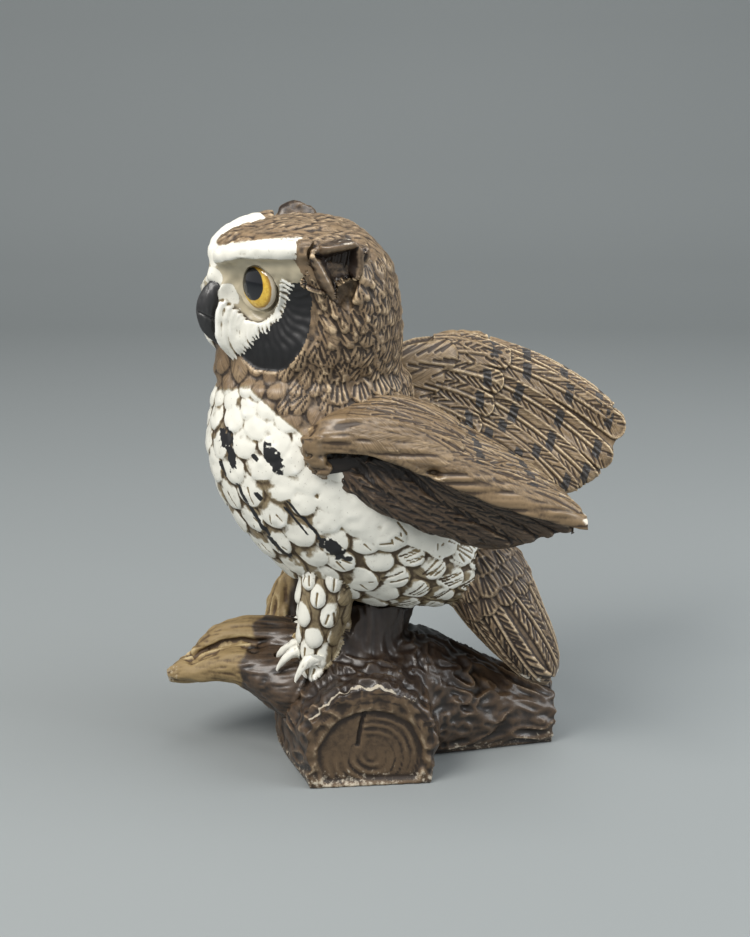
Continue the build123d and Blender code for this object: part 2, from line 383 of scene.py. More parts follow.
def place(name, mesh, slot, nodes):
    """Puts a finished mesh on the owl in place of its plain nodes."""
    piece = bpy.data.objects.new(name, mesh)
    bpy.context.scene.collection.objects.link(piece)
    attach(piece, "root")
    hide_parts(*nodes)
    return piece


def lump_of(*nodes):
    """A merged copy of plain nodes, to be carved."""
    lump = bmesh.new()
    for node in nodes:
        lump.from_mesh(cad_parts[node].data)
    bmesh.ops.remove_doubles(lump, verts=lump.verts, dist=0.002 * MM)
    return lump


def stop_up(lump, centre, radius, height):
    """Closes a hidden hole with a plug, so that the hollow inside isn't meshed."""
    spot = Matrix.Translation(Vector(centre) * MM)
    bmesh.ops.create_cone(lump, cap_ends=True, segments=32, radius1=radius * MM, radius2=radius * MM,
                          depth=height * MM, matrix=spot)


def add_rod(lump, start, end, radius_a, radius_b):
    """Joins a tapered rod to a lump before it is smoothed over."""
    start, end = Vector(start), Vector(end)
    turn = (end - start).to_track_quat("Z", "Y").to_matrix().to_4x4()
    spot = Matrix.Translation((start + end) / 2 * MM) @ turn
    bmesh.ops.create_cone(lump, cap_ends=True, segments=24, radius1=radius_a * MM, radius2=radius_b * MM,
                          depth=(end - start).length * MM, matrix=spot)


def hit(tree, origin, direction, far=90.0):
    """Where a ray from inside last leaves the skin, and the skin's direction there."""
    start = Vector(origin) + Vector(direction) * far
    spot, facing, _, _ = tree.ray_cast(start, -Vector(direction))
    return (None, None) if spot is None else (np.array(spot), np.array(facing))


def ring(spine, step):
    """Centre, direction onward and direction to the belly at a step along a spine."""
    whole = np.arange(len(spine))
    y, z, lean = (np.interp(step, whole, spine[:, k]) for k in range(3))
    lean = math.radians(lean)
    onward = np.array([0.0, math.sin(lean), -math.cos(lean)])
    belly = np.array([0.0, -math.cos(lean), -math.sin(lean)])
    return np.array([0.0, y, z]), onward, belly


def row_on(tree, spine, step, angles, length, width, thick, chance, kind="plain", wander=0.15, **cut):
    """One row of feathers round a body; angles are degrees from the belly towards the owl's left."""
    centre, onward, belly = ring(spine, step)
    feathers = []
    for angle in angles:
        turn = math.radians(angle)
        out = belly * math.cos(turn) + np.array([1.0, 0.0, 0.0]) * math.sin(turn)
        spot, facing = hit(tree, centre, out)
        if spot is None:
            continue
        along = unit(onward - facing * (onward @ facing))
        side = np.cross(facing, along)
        along = unit(along + side * chance.uniform(-wander, wander))
        size = chance.uniform(0.9, 1.12)
        spot = spot + along * chance.uniform(-0.9, 0.9) + side * chance.uniform(-0.5, 0.5)
        feathers.append(Feather(spot - along * length * size * 0.5, spot + along * length * size * 0.5,
                                facing, width * size, thick * chance.uniform(0.85, 1.15), kind, **cut))
    return feathers


# ---------------------------------------------------------------- paint and clay materials

def socket_group(name, inputs, outputs):
    """A node group with named sockets: {name: (type, default)}."""
    group = bpy.data.node_groups.new(name, "ShaderNodeTree")
    for title, (kind, value) in inputs.items():
        made = group.interface.new_socket(name=title, in_out="INPUT", socket_type="NodeSocket" + kind)
        if value is not None:
            made.default_value = value
    for title, kind in outputs.items():
        group.interface.new_socket(name=title, in_out="OUTPUT", socket_type="NodeSocket" + kind)
    return group, Bench(group)


class Bench:
    """Short names for adding and joining nodes in one tree."""

    def __init__(self, tree):
        self.tree = tree
        is_shader = isinstance(tree, bpy.types.ShaderNodeTree)
        self.ins = tree.nodes.new("NodeGroupInput").outputs if is_shader else None

    def node(self, kind, **values):
        made = self.tree.nodes.new("ShaderNode" + kind)
        for name, value in values.items():
            setattr(made, name, value)
        return made

    def feed(self, target, source):
        if isinstance(source, bpy.types.NodeSocket):
            self.tree.links.new(source, target)
        else:
            target.default_value = source

    def math(self, work, a, b=0.0, c=0.0):
        made = self.node("Math", operation=work)
        for index, value in enumerate((a, b, c)):
            self.feed(made.inputs[index], value)
        return made.outputs[0]

    def slope(self, value, low, high, start=0.0, end=1.0):
        made = self.node("MapRange", interpolation_type="SMOOTHSTEP")
        for index, part in enumerate((value, low, high, start, end)):
            self.feed(made.inputs[index], part)
        return made.outputs[0]

    def mix(self, share, a, b):
        made = self.node("Mix", data_type="RGBA", clamp_factor=True)
        for index, value in ((0, share), (6, a), (7, b)):
            self.feed(made.inputs[index], value)
        return made.outputs[2]

    def noise(self, place, scale, detail=3.0, rough=0.55, bend=0.0):
        made = self.node("TexNoise")
        self.feed(made.inputs["Vector"], place)
        for name, value in (("Scale", scale), ("Detail", detail), ("Roughness", rough), ("Distortion", bend)):
            self.feed(made.inputs[name], value)
        return made.outputs["Fac"]

    def mark(self, name):
        """A mark left on the clay, as a vector and as a value."""
        made = self.node("Attribute", attribute_name=name)
        return made.outputs["Vector"], made.outputs["Fac"]

    def group(self, tree, **values):
        made = self.node("Group")
        made.node_tree = tree
        for name, value in values.items():
            self.feed(made.inputs[name.replace("_", " ")], value)
        return made.outputs

    def out(self, **values):
        made = self.tree.nodes.new("NodeGroupOutput")
        for name, value in values.items():
            self.feed(made.inputs[name.replace("_", " ")], value)


def make_barbs_group():
    """Faint scratches of the comb, slanting away from each feather's shaft."""
    group, b = socket_group("feather_barbs", {"Lay": ("Vector", None), "Place": ("Vector", None)},
                            {"Cut": "Float", "Ridge": "Float"})
    split = b.node("SeparateXYZ")
    b.feed(split.inputs[0], b.ins["Lay"])
    line = b.math("SUBTRACT", split.outputs[0],
                  b.math("MULTIPLY", b.math("ABSOLUTE", split.outputs[1]), 1.9))
    strand = b.node("CombineXYZ")
    b.feed(strand.inputs[0], b.math("MULTIPLY", line, 1.15))
    b.feed(strand.inputs[1], b.math("MULTIPLY", split.outputs[1], 0.12))
    b.feed(strand.inputs[2], b.math("MULTIPLY", split.outputs[2], 40.0))
    streak = b.noise(strand.outputs[0], 1.0, 2.0, 0.6)
    b.out(Cut=b.slope(streak, 0.52, 0.36), Ridge=b.slope(streak, 0.55, 0.72))
    return group


def make_brush_group():
    """Uneven hand-brushed paint: large patches, fine streaks and specks."""
    group, b = socket_group("brushed_paint", {"Place": ("Vector", None)},
                            {"Patch": "Float", "Fine": "Float", "Speck": "Float"})
    patch = b.noise(b.ins["Place"], 70.0, 4.0, 0.6, 0.4)
    fine = b.noise(b.ins["Place"], 620.0, 4.0, 0.65)
    speck = b.slope(b.noise(b.ins["Place"], 1150.0, 2.0, 0.5), 0.66, 0.76)
    b.out(Patch=patch, Fine=fine, Speck=speck)
    return group


def make_wash_group():
    """Paint with a dark wash settled in the hollows and a pale dry brush over the ridges."""
    group, b = socket_group("wash_and_dry_brush", {
        "Paint": ("Color", (0.5, 0.5, 0.5, 1.0)), "Wash": ("Color", (0.1, 0.1, 0.1, 1.0)),
        "Dry Brush": ("Color", (0.8, 0.8, 0.8, 1.0)), "Relief": ("Float", 0.0), "Cut": ("Float", 0.0),
        "Ridge": ("Float", 0.0), "Patch": ("Float", 0.5), "Fine": ("Float", 0.5),
        "Wash Level": ("Float", 0.0), "Brush Level": ("Float", 0.5)},
        {"Color": "Color", "Hollow": "Float"})
    uneven = b.math("MULTIPLY_ADD", b.ins["Patch"], 0.7, -0.35)
    grainy = b.math("MULTIPLY_ADD", b.ins["Fine"], 0.5, -0.25)
    level = b.math("ADD", b.math("ADD", b.ins["Relief"], uneven), grainy)
    hollow = b.slope(b.math("SUBTRACT", b.ins["Wash Level"], level), -0.1, 0.3)
    hollow = b.math("MAXIMUM", hollow, b.math("MULTIPLY", b.ins["Cut"], 0.75))
    high = b.slope(b.math("SUBTRACT", level, b.ins["Brush Level"]), 0.0, 0.4)
    high = b.math("MAXIMUM", high, b.math("MULTIPLY", b.ins["Ridge"], b.slope(level, -0.2, 0.4, 0.0, 0.7)))
    tone = b.mix(high, b.ins["Paint"], b.ins["Dry Brush"])
    b.out(Color=b.mix(hollow, tone, b.ins["Wash"]), Hollow=hollow)
    return group


def make_mask_group():
    """A painted edge: a soft mark made sharp and a little ragged."""
    group, b = socket_group("ragged_edge", {"Mark": ("Float", 0.0), "Fine": ("Float", 0.5),
                                            "Rag": ("Float", 0.3), "Softness": ("Float", 0.1)},
                            {"Mask": "Float"})
    shifted = b.math("ADD", b.ins["Mark"], b.math("MULTIPLY", b.math("SUBTRACT", b.ins["Fine"], 0.5),
                                                  b.ins["Rag"]))
    b.out(Mask=b.slope(shifted, b.math("MULTIPLY", b.ins["Softness"], -1.0), b.ins["Softness"]))
    return group


BARBS, BRUSH, WASH, EDGE = make_barbs_group(), make_brush_group(), make_wash_group(), make_mask_group()


def start_material(name):
    """A fresh material with its shader, and a bench to work at."""
    material = bpy.data.materials.new(name)
    material.use_nodes = True
    material.node_tree.nodes.clear()
    b = Bench(material.node_tree)
    for extra in [n for n in material.node_tree.nodes if n.type == "GROUP_INPUT"]:
        material.node_tree.nodes.remove(extra)
    shader = b.node("BsdfPrincipled")
    output = b.node("OutputMaterial")
    b.feed(output.inputs[0], shader.outputs[0])
    place_at = b.node("TexCoord").outputs["Object"]
    return material, b, shader, place_at


def bump(b, shader, height, strength, distance):
    """Gives the shader a bumpy surface from a height."""
    made = b.node("Bump")
    made.inputs["Strength"].default_value = strength
    made.inputs["Distance"].default_value = distance
    b.feed(made.inputs["Height"], height)
    b.feed(shader.inputs["Normal"], made.outputs[0])


BARB_DEPTH = 0.6   # how strongly the fine barbs show
TONE_SHARE = 0.25  # how far a feather's own tone shifts its paint
BAR_PAINT = (0.022, 0.019, 0.018, 1.0)


def feather_paint(name, paint, wash, dry, wash_level=0.0, brush_level=0.45,
                  gloss=(0.52, 0.34), white_wash=0.05, bare=(0.66, 0.6, 0.5, 1)):
    """Painted bisque feathers: body colour, wash, dry brush, barbs, bars, and white, black and tan areas."""
    material, b, shader, at = start_material(name)
    brush = b.group(BRUSH, Place=at)
    lay, _ = b.mark("lay")
    split_lay = b.node("SeparateXYZ")
    b.feed(split_lay.inputs[0], lay)
    paints, _ = b.mark("paints")
    split = b.node("SeparateXYZ")
    b.feed(split.inputs[0], paints)
    white, black, tan = split.outputs
    relief = b.mark("relief")[1]
    worn = b.mark("worn")[1]
    barbs = b.group(BARBS, Lay=lay, Place=at)
    fine = brush["Fine"]
    is_white = b.group(EDGE, Mark=white, Fine=fine, Rag=0.7, Softness=0.22)["Mask"]
    is_black = b.group(EDGE, Mark=black, Fine=fine, Rag=1.1, Softness=0.1)["Mask"]
    is_tan = b.group(EDGE, Mark=tan, Fine=fine, Rag=0.6, Softness=0.25)["Mask"]
    is_bar = b.group(EDGE, Mark=b.mark("bar")[1], Fine=fine, Rag=0.5, Softness=0.08)["Mask"]
    plain = b.math("SUBTRACT", 1.0, b.math("MAXIMUM", is_white, is_black))
    cut = b.math("MULTIPLY", b.math("MULTIPLY", barbs["Cut"], BARB_DEPTH), plain)
    ridge = b.math("MULTIPLY", b.math("MULTIPLY", barbs["Ridge"], BARB_DEPTH), plain)
    body = b.mix(b.math("MULTIPLY", split_lay.outputs[2], TONE_SHARE), paint, dry)
    body = b.mix(b.slope(brush["Patch"], 0.42, 0.66, 0.0, 0.35), body, wash)
    body = b.group(WASH, Paint=body, Wash=wash, Dry_Brush=dry, Relief=relief, Cut=cut, Ridge=ridge,
                   Patch=brush["Patch"], Fine=fine, Wash_Level=wash_level, Brush_Level=brush_level)
    colour = body["Color"]
    olive = b.group(WASH, Paint=(0.265, 0.205, 0.115, 1), Wash=(0.065, 0.040, 0.017, 1),
                    Dry_Brush=(0.52, 0.45, 0.30, 1), Relief=relief, Cut=cut, Ridge=ridge,
                    Patch=brush["Patch"], Fine=fine, Wash_Level=0.0, Brush_Level=0.22)["Color"]
    colour = b.mix(is_tan, colour, olive)
    cream = b.group(WASH, Paint=(0.80, 0.785, 0.70, 1), Wash=(0.19, 0.14, 0.065, 1),
                    Dry_Brush=(0.88, 0.87, 0.81, 1), Relief=relief, Cut=0.0, Ridge=0.0,
                    Patch=brush["Patch"], Fine=fine, Wash_Level=white_wash, Brush_Level=0.15)["Color"]
    cream = b.mix(b.math("MULTIPLY", brush["Speck"], 0.35), cream, (0.12, 0.09, 0.05, 1))
    colour = b.mix(is_white, colour, cream)
    # black paint, painted a little paler on the ridges as a painted sheen
    black_and_ridge_sheen = b.mix(b.slope(relief, 0.0, 0.8, 0.0, 0.5), (0.007, 0.007, 0.008, 1), (0.045, 0.045, 0.047, 1))
    colour = b.mix(is_black, colour, black_and_ridge_sheen)
    colour = b.mix(b.math("MULTIPLY", is_bar, 0.94), colour, BAR_PAINT)
    # worn places show bare clay, darker in the hollows; on the head the same mark paints the eye sockets a
    # darker cream, painted shade in the face's hollows
    is_worn = b.group(EDGE, Mark=worn, Fine=fine, Rag=0.7, Softness=0.1)["Mask"]
    colour = b.mix(is_worn, colour, b.mix(b.slope(relief, 0.1, -0.7), bare, wash))
    b.feed(shader.inputs["Base Color"], colour)
    dull = b.slope(body["Hollow"], 0.0, 1.0, gloss[1], gloss[0])
    b.feed(shader.inputs["Roughness"], b.math("MAXIMUM", dull, b.math("MULTIPLY", is_black, 0.48)))
    shader.inputs["Coat Weight"].default_value = 0.06
    shader.inputs["Coat Roughness"].default_value = 0.3
    height = b.math("SUBTRACT", b.math("MULTIPLY", fine, 0.3), b.math("MULTIPLY", cut, 0.6))
    bump(b, shader, b.math("ADD", height, b.math("MULTIPLY", ridge, 0.4)), 0.6, 0.3 * MM)
    return material


def bark_paint():
    """Dark glossy brown bark, worn to clay on its edges; the sawn face and torn wood are paler."""
    material, b, shader, at = start_material("bark_glaze")
    brush = b.group(BRUSH, Place=at)
    fine = brush["Fine"]
    relief = b.mark("relief")[1]
    paints, _ = b.mark("paints")
    split = b.node("SeparateXYZ")
    b.feed(split.inputs[0], paints)
    sawn, darker_up_top, torn = split.outputs
    bark = b.group(WASH, Paint=(0.068, 0.041, 0.022, 1), Wash=(0.012, 0.007, 0.004, 1),
                   Dry_Brush=(0.22, 0.155, 0.095, 1), Relief=relief, Cut=0.0, Ridge=0.0,
                   Patch=brush["Patch"], Fine=fine, Wash_Level=0.05, Brush_Level=0.26)
    face = b.group(WASH, Paint=(0.105, 0.066, 0.034, 1), Wash=(0.022, 0.012, 0.006, 1),
                   Dry_Brush=(0.27, 0.20, 0.125, 1), Relief=relief, Cut=0.0, Ridge=0.0,
                   Patch=brush["Patch"], Fine=fine, Wash_Level=0.0, Brush_Level=0.12)["Color"]
    ochre = b.group(WASH, Paint=(0.27, 0.19, 0.085, 1), Wash=(0.075, 0.042, 0.017, 1),
                    Dry_Brush=(0.47, 0.37, 0.20, 1), Relief=relief, Cut=0.0, Ridge=0.0,
                    Patch=brush["Patch"], Fine=fine, Wash_Level=-0.05, Brush_Level=0.12)["Color"]
    is_sawn = b.group(EDGE, Mark=sawn, Fine=fine, Rag=0.4, Softness=0.2)["Mask"]
    is_torn = b.group(EDGE, Mark=torn, Fine=brush["Patch"], Rag=1.6, Softness=0.35)["Mask"]
    is_darker_up_top = b.group(EDGE, Mark=darker_up_top, Fine=brush["Patch"], Rag=1.2, Softness=0.7)["Mask"]
    # the bark is painted darker towards the top of the log
    colour = b.mix(b.math("MULTIPLY", is_darker_up_top, 0.8), bark["Color"], (0.016, 0.009, 0.006, 1))
    colour = b.mix(is_sawn, colour, face)
    colour = b.mix(is_torn, colour, ochre)
    worn = b.math("ADD", b.mark("worn")[1], b.math("MULTIPLY", b.math("SUBTRACT", brush["Patch"], 0.5), 0.9))
    is_worn = b.group(EDGE, Mark=worn, Fine=fine, Rag=1.5, Softness=0.16)["Mask"]
    colour = b.mix(b.math("MULTIPLY", is_worn, 0.85), colour, (0.52, 0.46, 0.36, 1))
    b.feed(shader.inputs["Base Color"], colour)
    matt = b.math("MAXIMUM", b.math("MAXIMUM", is_worn, is_torn), b.math("MULTIPLY", is_sawn, 0.6))
    b.feed(shader.inputs["Roughness"], b.slope(matt, 0.0, 1.0, 0.42, 0.62))
    b.feed(shader.inputs["Coat Weight"], b.slope(matt, 0.0, 1.0, 0.22, 0.0))
    shader.inputs["Coat Roughness"].default_value = 0.16
    bump(b, shader, b.math("ADD", b.math("MULTIPLY", fine, 0.5), b.math("MULTIPLY", brush["Patch"], 0.5)),
         0.5, 0.35 * MM)
    return material


def beak_paint():
    """Satin grey-black paint, rubbed grey along the ridge."""
    material, b, shader, at = start_material("beak_paint")
    brush = b.group(BRUSH, Place=at)
    relief = b.mark("relief")[1]
    rubbed = b.slope(b.math("ADD", relief, b.math("MULTIPLY", brush["Patch"], 0.4)), 0.15, 0.75, 0.0, 0.55)
    b.feed(shader.inputs["Base Color"], b.mix(rubbed, (0.022, 0.022, 0.023, 1), (0.17, 0.165, 0.16, 1)))
    b.feed(shader.inputs["Roughness"], b.slope(brush["Fine"], 0.3, 0.7, 0.34, 0.5))
    shader.inputs["Coat Weight"].default_value = 0.2
    bump(b, shader, brush["Fine"], 0.3, 0.12 * MM)
    return material


def eye_paint(side):
    """A glossy eye: black pupil set up and forward, yellow iris streaked with amber, dark rim."""
    material, b, shader, at = start_material("eye_glaze_" + ("left" if side == LEFT else "right"))
    _, back, up = eye_axes(side)
    centre = eye_centre(side)

    def offset(direction, middle):
        dot = b.node("VectorMath", operation="DOT_PRODUCT")
        b.feed(dot.inputs[0], at)
        dot.inputs[1].default_value = direction
        return b.math("SUBTRACT", dot.outputs["Value"], float(middle @ direction) * MM)

    def disc(middle):
        flat_a = offset(back, middle)
        flat_b = offset(up, middle)
        square = b.math("ADD", b.math("POWER", b.math("ABSOLUTE", flat_a), 2.0),
                        b.math("POWER", b.math("ABSOLUTE", flat_b), 2.0))
        return b.math("SQRT", square)

    wander = b.math("MULTIPLY", b.math("SUBTRACT", b.noise(at, 420.0, 2.0), 0.5), 0.5 * MM)
    pupil_far = b.math("ADD", disc(centre - back * 1.1 + up * 1.2), wander)
    iris_far = b.math("ADD", disc(centre), wander)
    amber = b.slope(b.noise(at, 900.0, 3.0), 0.35, 0.65)
    iris = b.mix(amber, (0.62, 0.36, 0.03, 1), (0.78, 0.52, 0.07, 1))
    iris = b.mix(b.slope(iris_far, 5.9 * MM, 6.9 * MM), iris, (0.36, 0.19, 0.02, 1))
    eye = b.mix(b.slope(pupil_far, 5.3 * MM, 5.6 * MM), (0.004, 0.005, 0.008, 1), iris)
    eye = b.mix(b.slope(iris_far, 6.9 * MM, 7.2 * MM), eye, (0.56, 0.50, 0.38, 1))
    b.feed(shader.inputs["Base Color"], eye)
    b.feed(shader.inputs["Roughness"], b.slope(amber, 0.0, 1.0, 0.12, 0.17))
    shader.inputs["Coat Weight"].default_value = 0.6
    shader.inputs["Coat Roughness"].default_value = 0.06
    return material


# ---------------------------------------------------------------- the stage

def make_stage():
    """A pale sweep, soft lights and the camera."""
    floor = bmesh.new()
    edge = [floor.verts.new((side, 0.0, 0.0)) for side in (-2.5, 2.5)]
    line = floor.edges.new(edge)
    track = [(1.4, 0.0), (-0.9, 0.0), (-1.1, 0.03), (-1.22, 0.12), (-1.28, 0.28), (-1.3, 2.4)]
    for vert in edge:
        vert.co = (track[0][0], vert.co.x, track[0][1])
    for x, z in track[1:]:
        made = bmesh.ops.extrude_edge_only(floor, edges=[line])["geom"]
        for vert in (part for part in made if isinstance(part, bmesh.types.BMVert)):
            vert.co.x, vert.co.z = x, z
        line = next(part for part in made if isinstance(part, bmesh.types.BMEdge))
    bmesh.ops.recalc_face_normals(floor, faces=floor.faces)
    mesh = bpy.data.meshes.new("studio_sweep")
    floor.to_mesh(mesh)
    floor.free()
    mesh.shade_smooth()
    sweep = bpy.data.objects.new("studio_sweep", mesh)
    bpy.context.scene.collection.objects.link(sweep)
    material, b, shader, at = start_material("sweep_paper")
    tone = b.noise(at, 3.0, 2.0)
    b.feed(shader.inputs["Base Color"], b.mix(tone, (0.235, 0.255, 0.257, 1), (0.25, 0.268, 0.27, 1)))
    shader.inputs["Roughness"].default_value = 0.8
    mesh.materials.append(material)

    world = bpy.data.worlds.new("studio_air")
    world.use_nodes = True
    world.node_tree.nodes["Background"].inputs[0].default_value = (0.97, 0.985, 1.0, 1.0)
    world.node_tree.nodes["Background"].inputs[1].default_value = 0.5
    bpy.context.scene.world = world
    bpy.context.scene.view_settings.view_transform = "Standard"
    aim = Vector((0.0, 0.0, 0.1))
    for name, spot, size, power, warm in (
            ("key_softbox", (0.55, -0.55, 0.95), 0.55, 12.0, (1.0, 0.97, 0.93)),
            ("top_softbox", (0.05, 0.15, 1.1), 0.7, 5.5, (1.0, 1.0, 1.0)),
            ("rear_fill", (0.2, 0.9, 0.55), 0.6, 6.0, (0.93, 0.97, 1.0))):
        light = bpy.data.lights.new(name, "AREA")
        light.size = size
        light.energy = power
        light.color = warm
        lamp = bpy.data.objects.new(name, light)
        lamp.location = spot
        lamp.rotation_euler = (aim - Vector(spot)).to_track_quat("-Z", "Y").to_euler()
        bpy.context.scene.collection.objects.link(lamp)

    target = Vector((0.0, 0.0, 0.106))
    lift, distance = math.radians(15.0), 0.560
    camera = bpy.data.cameras.new("camera")
    camera.lens = 60.0
    camera.sensor_width = 36.0
    holder = bpy.data.objects.new("camera", camera)
    holder.location = target + Vector((math.cos(lift), 0.0, math.sin(lift))) * distance
    holder.rotation_euler = (target - holder.location).to_track_quat("-Z", "Y").to_euler()
    bpy.context.scene.collection.objects.link(holder)
    bpy.context.scene.camera = holder


# ---------------------------------------------------------------- head and torso

def eye_axes(side):
    """An eye's outward, backward and upward directions."""
    out = np.array([side * math.sin(EYE_SPLAY), -math.cos(EYE_SPLAY), 0.0])
    back = np.array([side * math.cos(EYE_SPLAY), math.sin(EYE_SPLAY), 0.0])
    up = np.array([0.0, 0.0, 1.0])
    return tuple(HEAD_AXES @ direction for direction in (out, back, up))


def eye_centre(side):
    """The middle of an eye, a little behind the eyelids."""
    out, back, up = eye_axes(side)
    return from_head(EYE_HEART * np.array([side, 1.0, 1.0])) + out * 2.2 + back * 1.2 + up * 1.8


def make_eye(side):
    """A smooth glossy eye, a flat dome behind its lids."""
    ball = bmesh.new()
    bmesh.ops.create_icosphere(ball, subdivisions=5, radius=EYE_RADIUS * MM)
    out, back, up = eye_axes(side)
    turn = Matrix((back * side, out, up)).transposed().to_4x4()
    bmesh.ops.scale(ball, verts=ball.verts, vec=(1.0, 0.4, 1.0))
    in_socket = Matrix.Translation(Vector(eye_centre(side)) * MM) @ turn
    bmesh.ops.transform(ball, verts=ball.verts, matrix=in_socket)
    bmesh.ops.recalc_face_normals(ball, faces=ball.faces)
    name = "left_eye" if side == LEFT else "right_eye"
    mesh = bpy.data.meshes.new(name + "_dome")
    ball.to_mesh(mesh)
    ball.free()
    mesh.materials.append(eye_paint(side))
    mesh.shade_smooth()
    place(name + "_dome", mesh, name, [name])


def face_spot(tree, angle, height):
    """A place on the head's skin, by its angle from the beak (degrees) and height, with its direction."""
    turn = math.radians(angle)
    out = HEAD_AXES @ np.array([math.sin(turn), -math.cos(turn), 0.0])
    return hit(tree, from_head([0.0, 0.0, height]), out)


def face_feather(tree, start, end, width, thick, kind, **cut):
    """A feather on the head between two places given as (angle, height)."""
    root, up_a = face_spot(tree, *start)
    tip, up_b = face_spot(tree, *end)
    if root is None or tip is None:
        return None
    return Feather(root, tip, up_a + up_b, width, thick, kind, **cut)


def face_feathers(tree, chance):
    """White spikes fanning out below the eyes, ending in long blades beside the beak."""
    laid = []
    steps = (0, 1, 2, 3, 4, 5)
    for side in (LEFT, RIGHT):
        for spike in range(25):
            way = spike / 24.0 * 5.0
            start = (np.interp(way, steps, (50.0, 47.0, 42.0, 30.0, 20.0, 11.0)),
                     np.interp(way, steps, (12.0, 4.5, 0.0, -3.6, -3.5, 2.0)))
            tip = (np.interp(way, steps, (59.5, 49.5, 42.0, 30.0, 22.5, 12.5)) + chance.uniform(-0.8, 0.8),
                   np.interp(way, steps, (10.5, 1.8, -3.6, -9.4, -13.6, -19.0)) + chance.uniform(-0.8, 0.8))
            wide = np.interp(way, steps, (0.62, 0.62, 0.66, 0.78, 1.05, 1.7))
            laid.append(face_feather(tree, (side * start[0], start[1]), (side * tip[0], tip[1]), wide,
                                     np.interp(way, steps, (1.1, 1.1, 1.2, 1.4, 1.9, 2.4)), "white",
                                     blunt=5.0, low=0.55, waist=1.0, reach=6.0, sag=-side * 0.12 * way ** 2))
    return laid


def head_feathers(tree, chance):
    """Scalloped nape feathers and rough cheeks."""
    laid = []
    for side in (LEFT, RIGHT):
        for _ in range(90):
            angle, height = chance.uniform(70.0, 112.0), chance.uniform(-30.0, 17.0)
            lean = chance.uniform(3.0, 14.0)
            size, wide = chance.uniform(7.0, 11.0), chance.uniform(1.5, 2.6)
            laid.append(face_feather(tree, (side * angle, height), (side * (angle + lean), height - size),
                                     wide, chance.uniform(1.2, 2.3), "cheek", low=0.15, blunt=1.5, reach=6.0,
                                     cuts=fan_cuts(chance, size, wide, 2, 0.2), depth=0.55, nib=0.3))
    for row in range(9):
        height = 19.5 - 5.4 * row
        for step in range(-10, 11):
            angle = 180.0 + (step + 0.5 * (row % 2)) * 12.2 + chance.uniform(-1.2, 1.2)
            if abs(angle - 180.0) > (80.0 if 1 < row < 6 else 92.0):
                continue
            size, wide = chance.uniform(10.0, 11.5), chance.uniform(3.4, 3.9)
            drift = 0.25 * (180.0 - angle) / 10.0
            tip = (angle - drift + chance.uniform(-2.0, 2.0), height + 2.0 - size)
            laid.append(face_feather(tree, (angle, height + 2.0), tip,
                                     wide, 1.9, "nape", low=0.05, round=0.3, blunt=1.25, waist=0.5,
                                     cuts=fan_cuts(chance, size, wide, 4, 0.45, 0.95), depth=0.5, nib=0.29,
                                     reach=7.0))
    return laid


def ruff_feathers(tree, chance):
    """Soft lumps under the chin that turn into ragged clumps and scallops round the back."""
    laid = []
    for row, height in enumerate((153.0, 147.5, 142.0, 136.5)):
        for step in range(28):
            angle = (step + 0.5 * (row % 2)) * 360.0 / 28.0 - 180.0 + chance.uniform(-2.5, 2.5)
            turn = math.radians(angle)
            out = np.array([math.sin(turn), -math.cos(turn), 0.0])
            spot, facing = hit(tree, (0.0, -20.0, height + chance.uniform(-1.2, 1.2)), out)
            if spot is None:
                continue
            front = abs(angle) < 66.0
            if front and row == 0:
                continue
            sway = chance.uniform(-0.35, 0.35) + (0.0 if front else 0.5 * np.sign(angle))
            down = np.array([0.0, 0.0, -1.0]) + np.cross(facing, [0.0, 0.0, 1.0]) * sway
            down = unit(down - facing * (down @ facing))
            size = chance.uniform(5.5, 7.0) if front else chance.uniform(4.8, 6.5)
            wide = chance.uniform(3.8, 5.4) if front else chance.uniform(2.8, 3.8)
            cuts = fan_cuts(chance, 2.0 * size, wide, 0 if front else 3, 0.35)
            laid.append(Feather(spot - down * size, spot + down * size, facing, wide,
                                chance.uniform(2.0, 3.0) if front else chance.uniform(1.6, 2.3), "ruff",
                                low=0.1, round=0.6 if front else 0.4, blunt=1.3, cuts=cuts,
                                depth=0.55, nib=0.3, reach=8.0))
    return laid


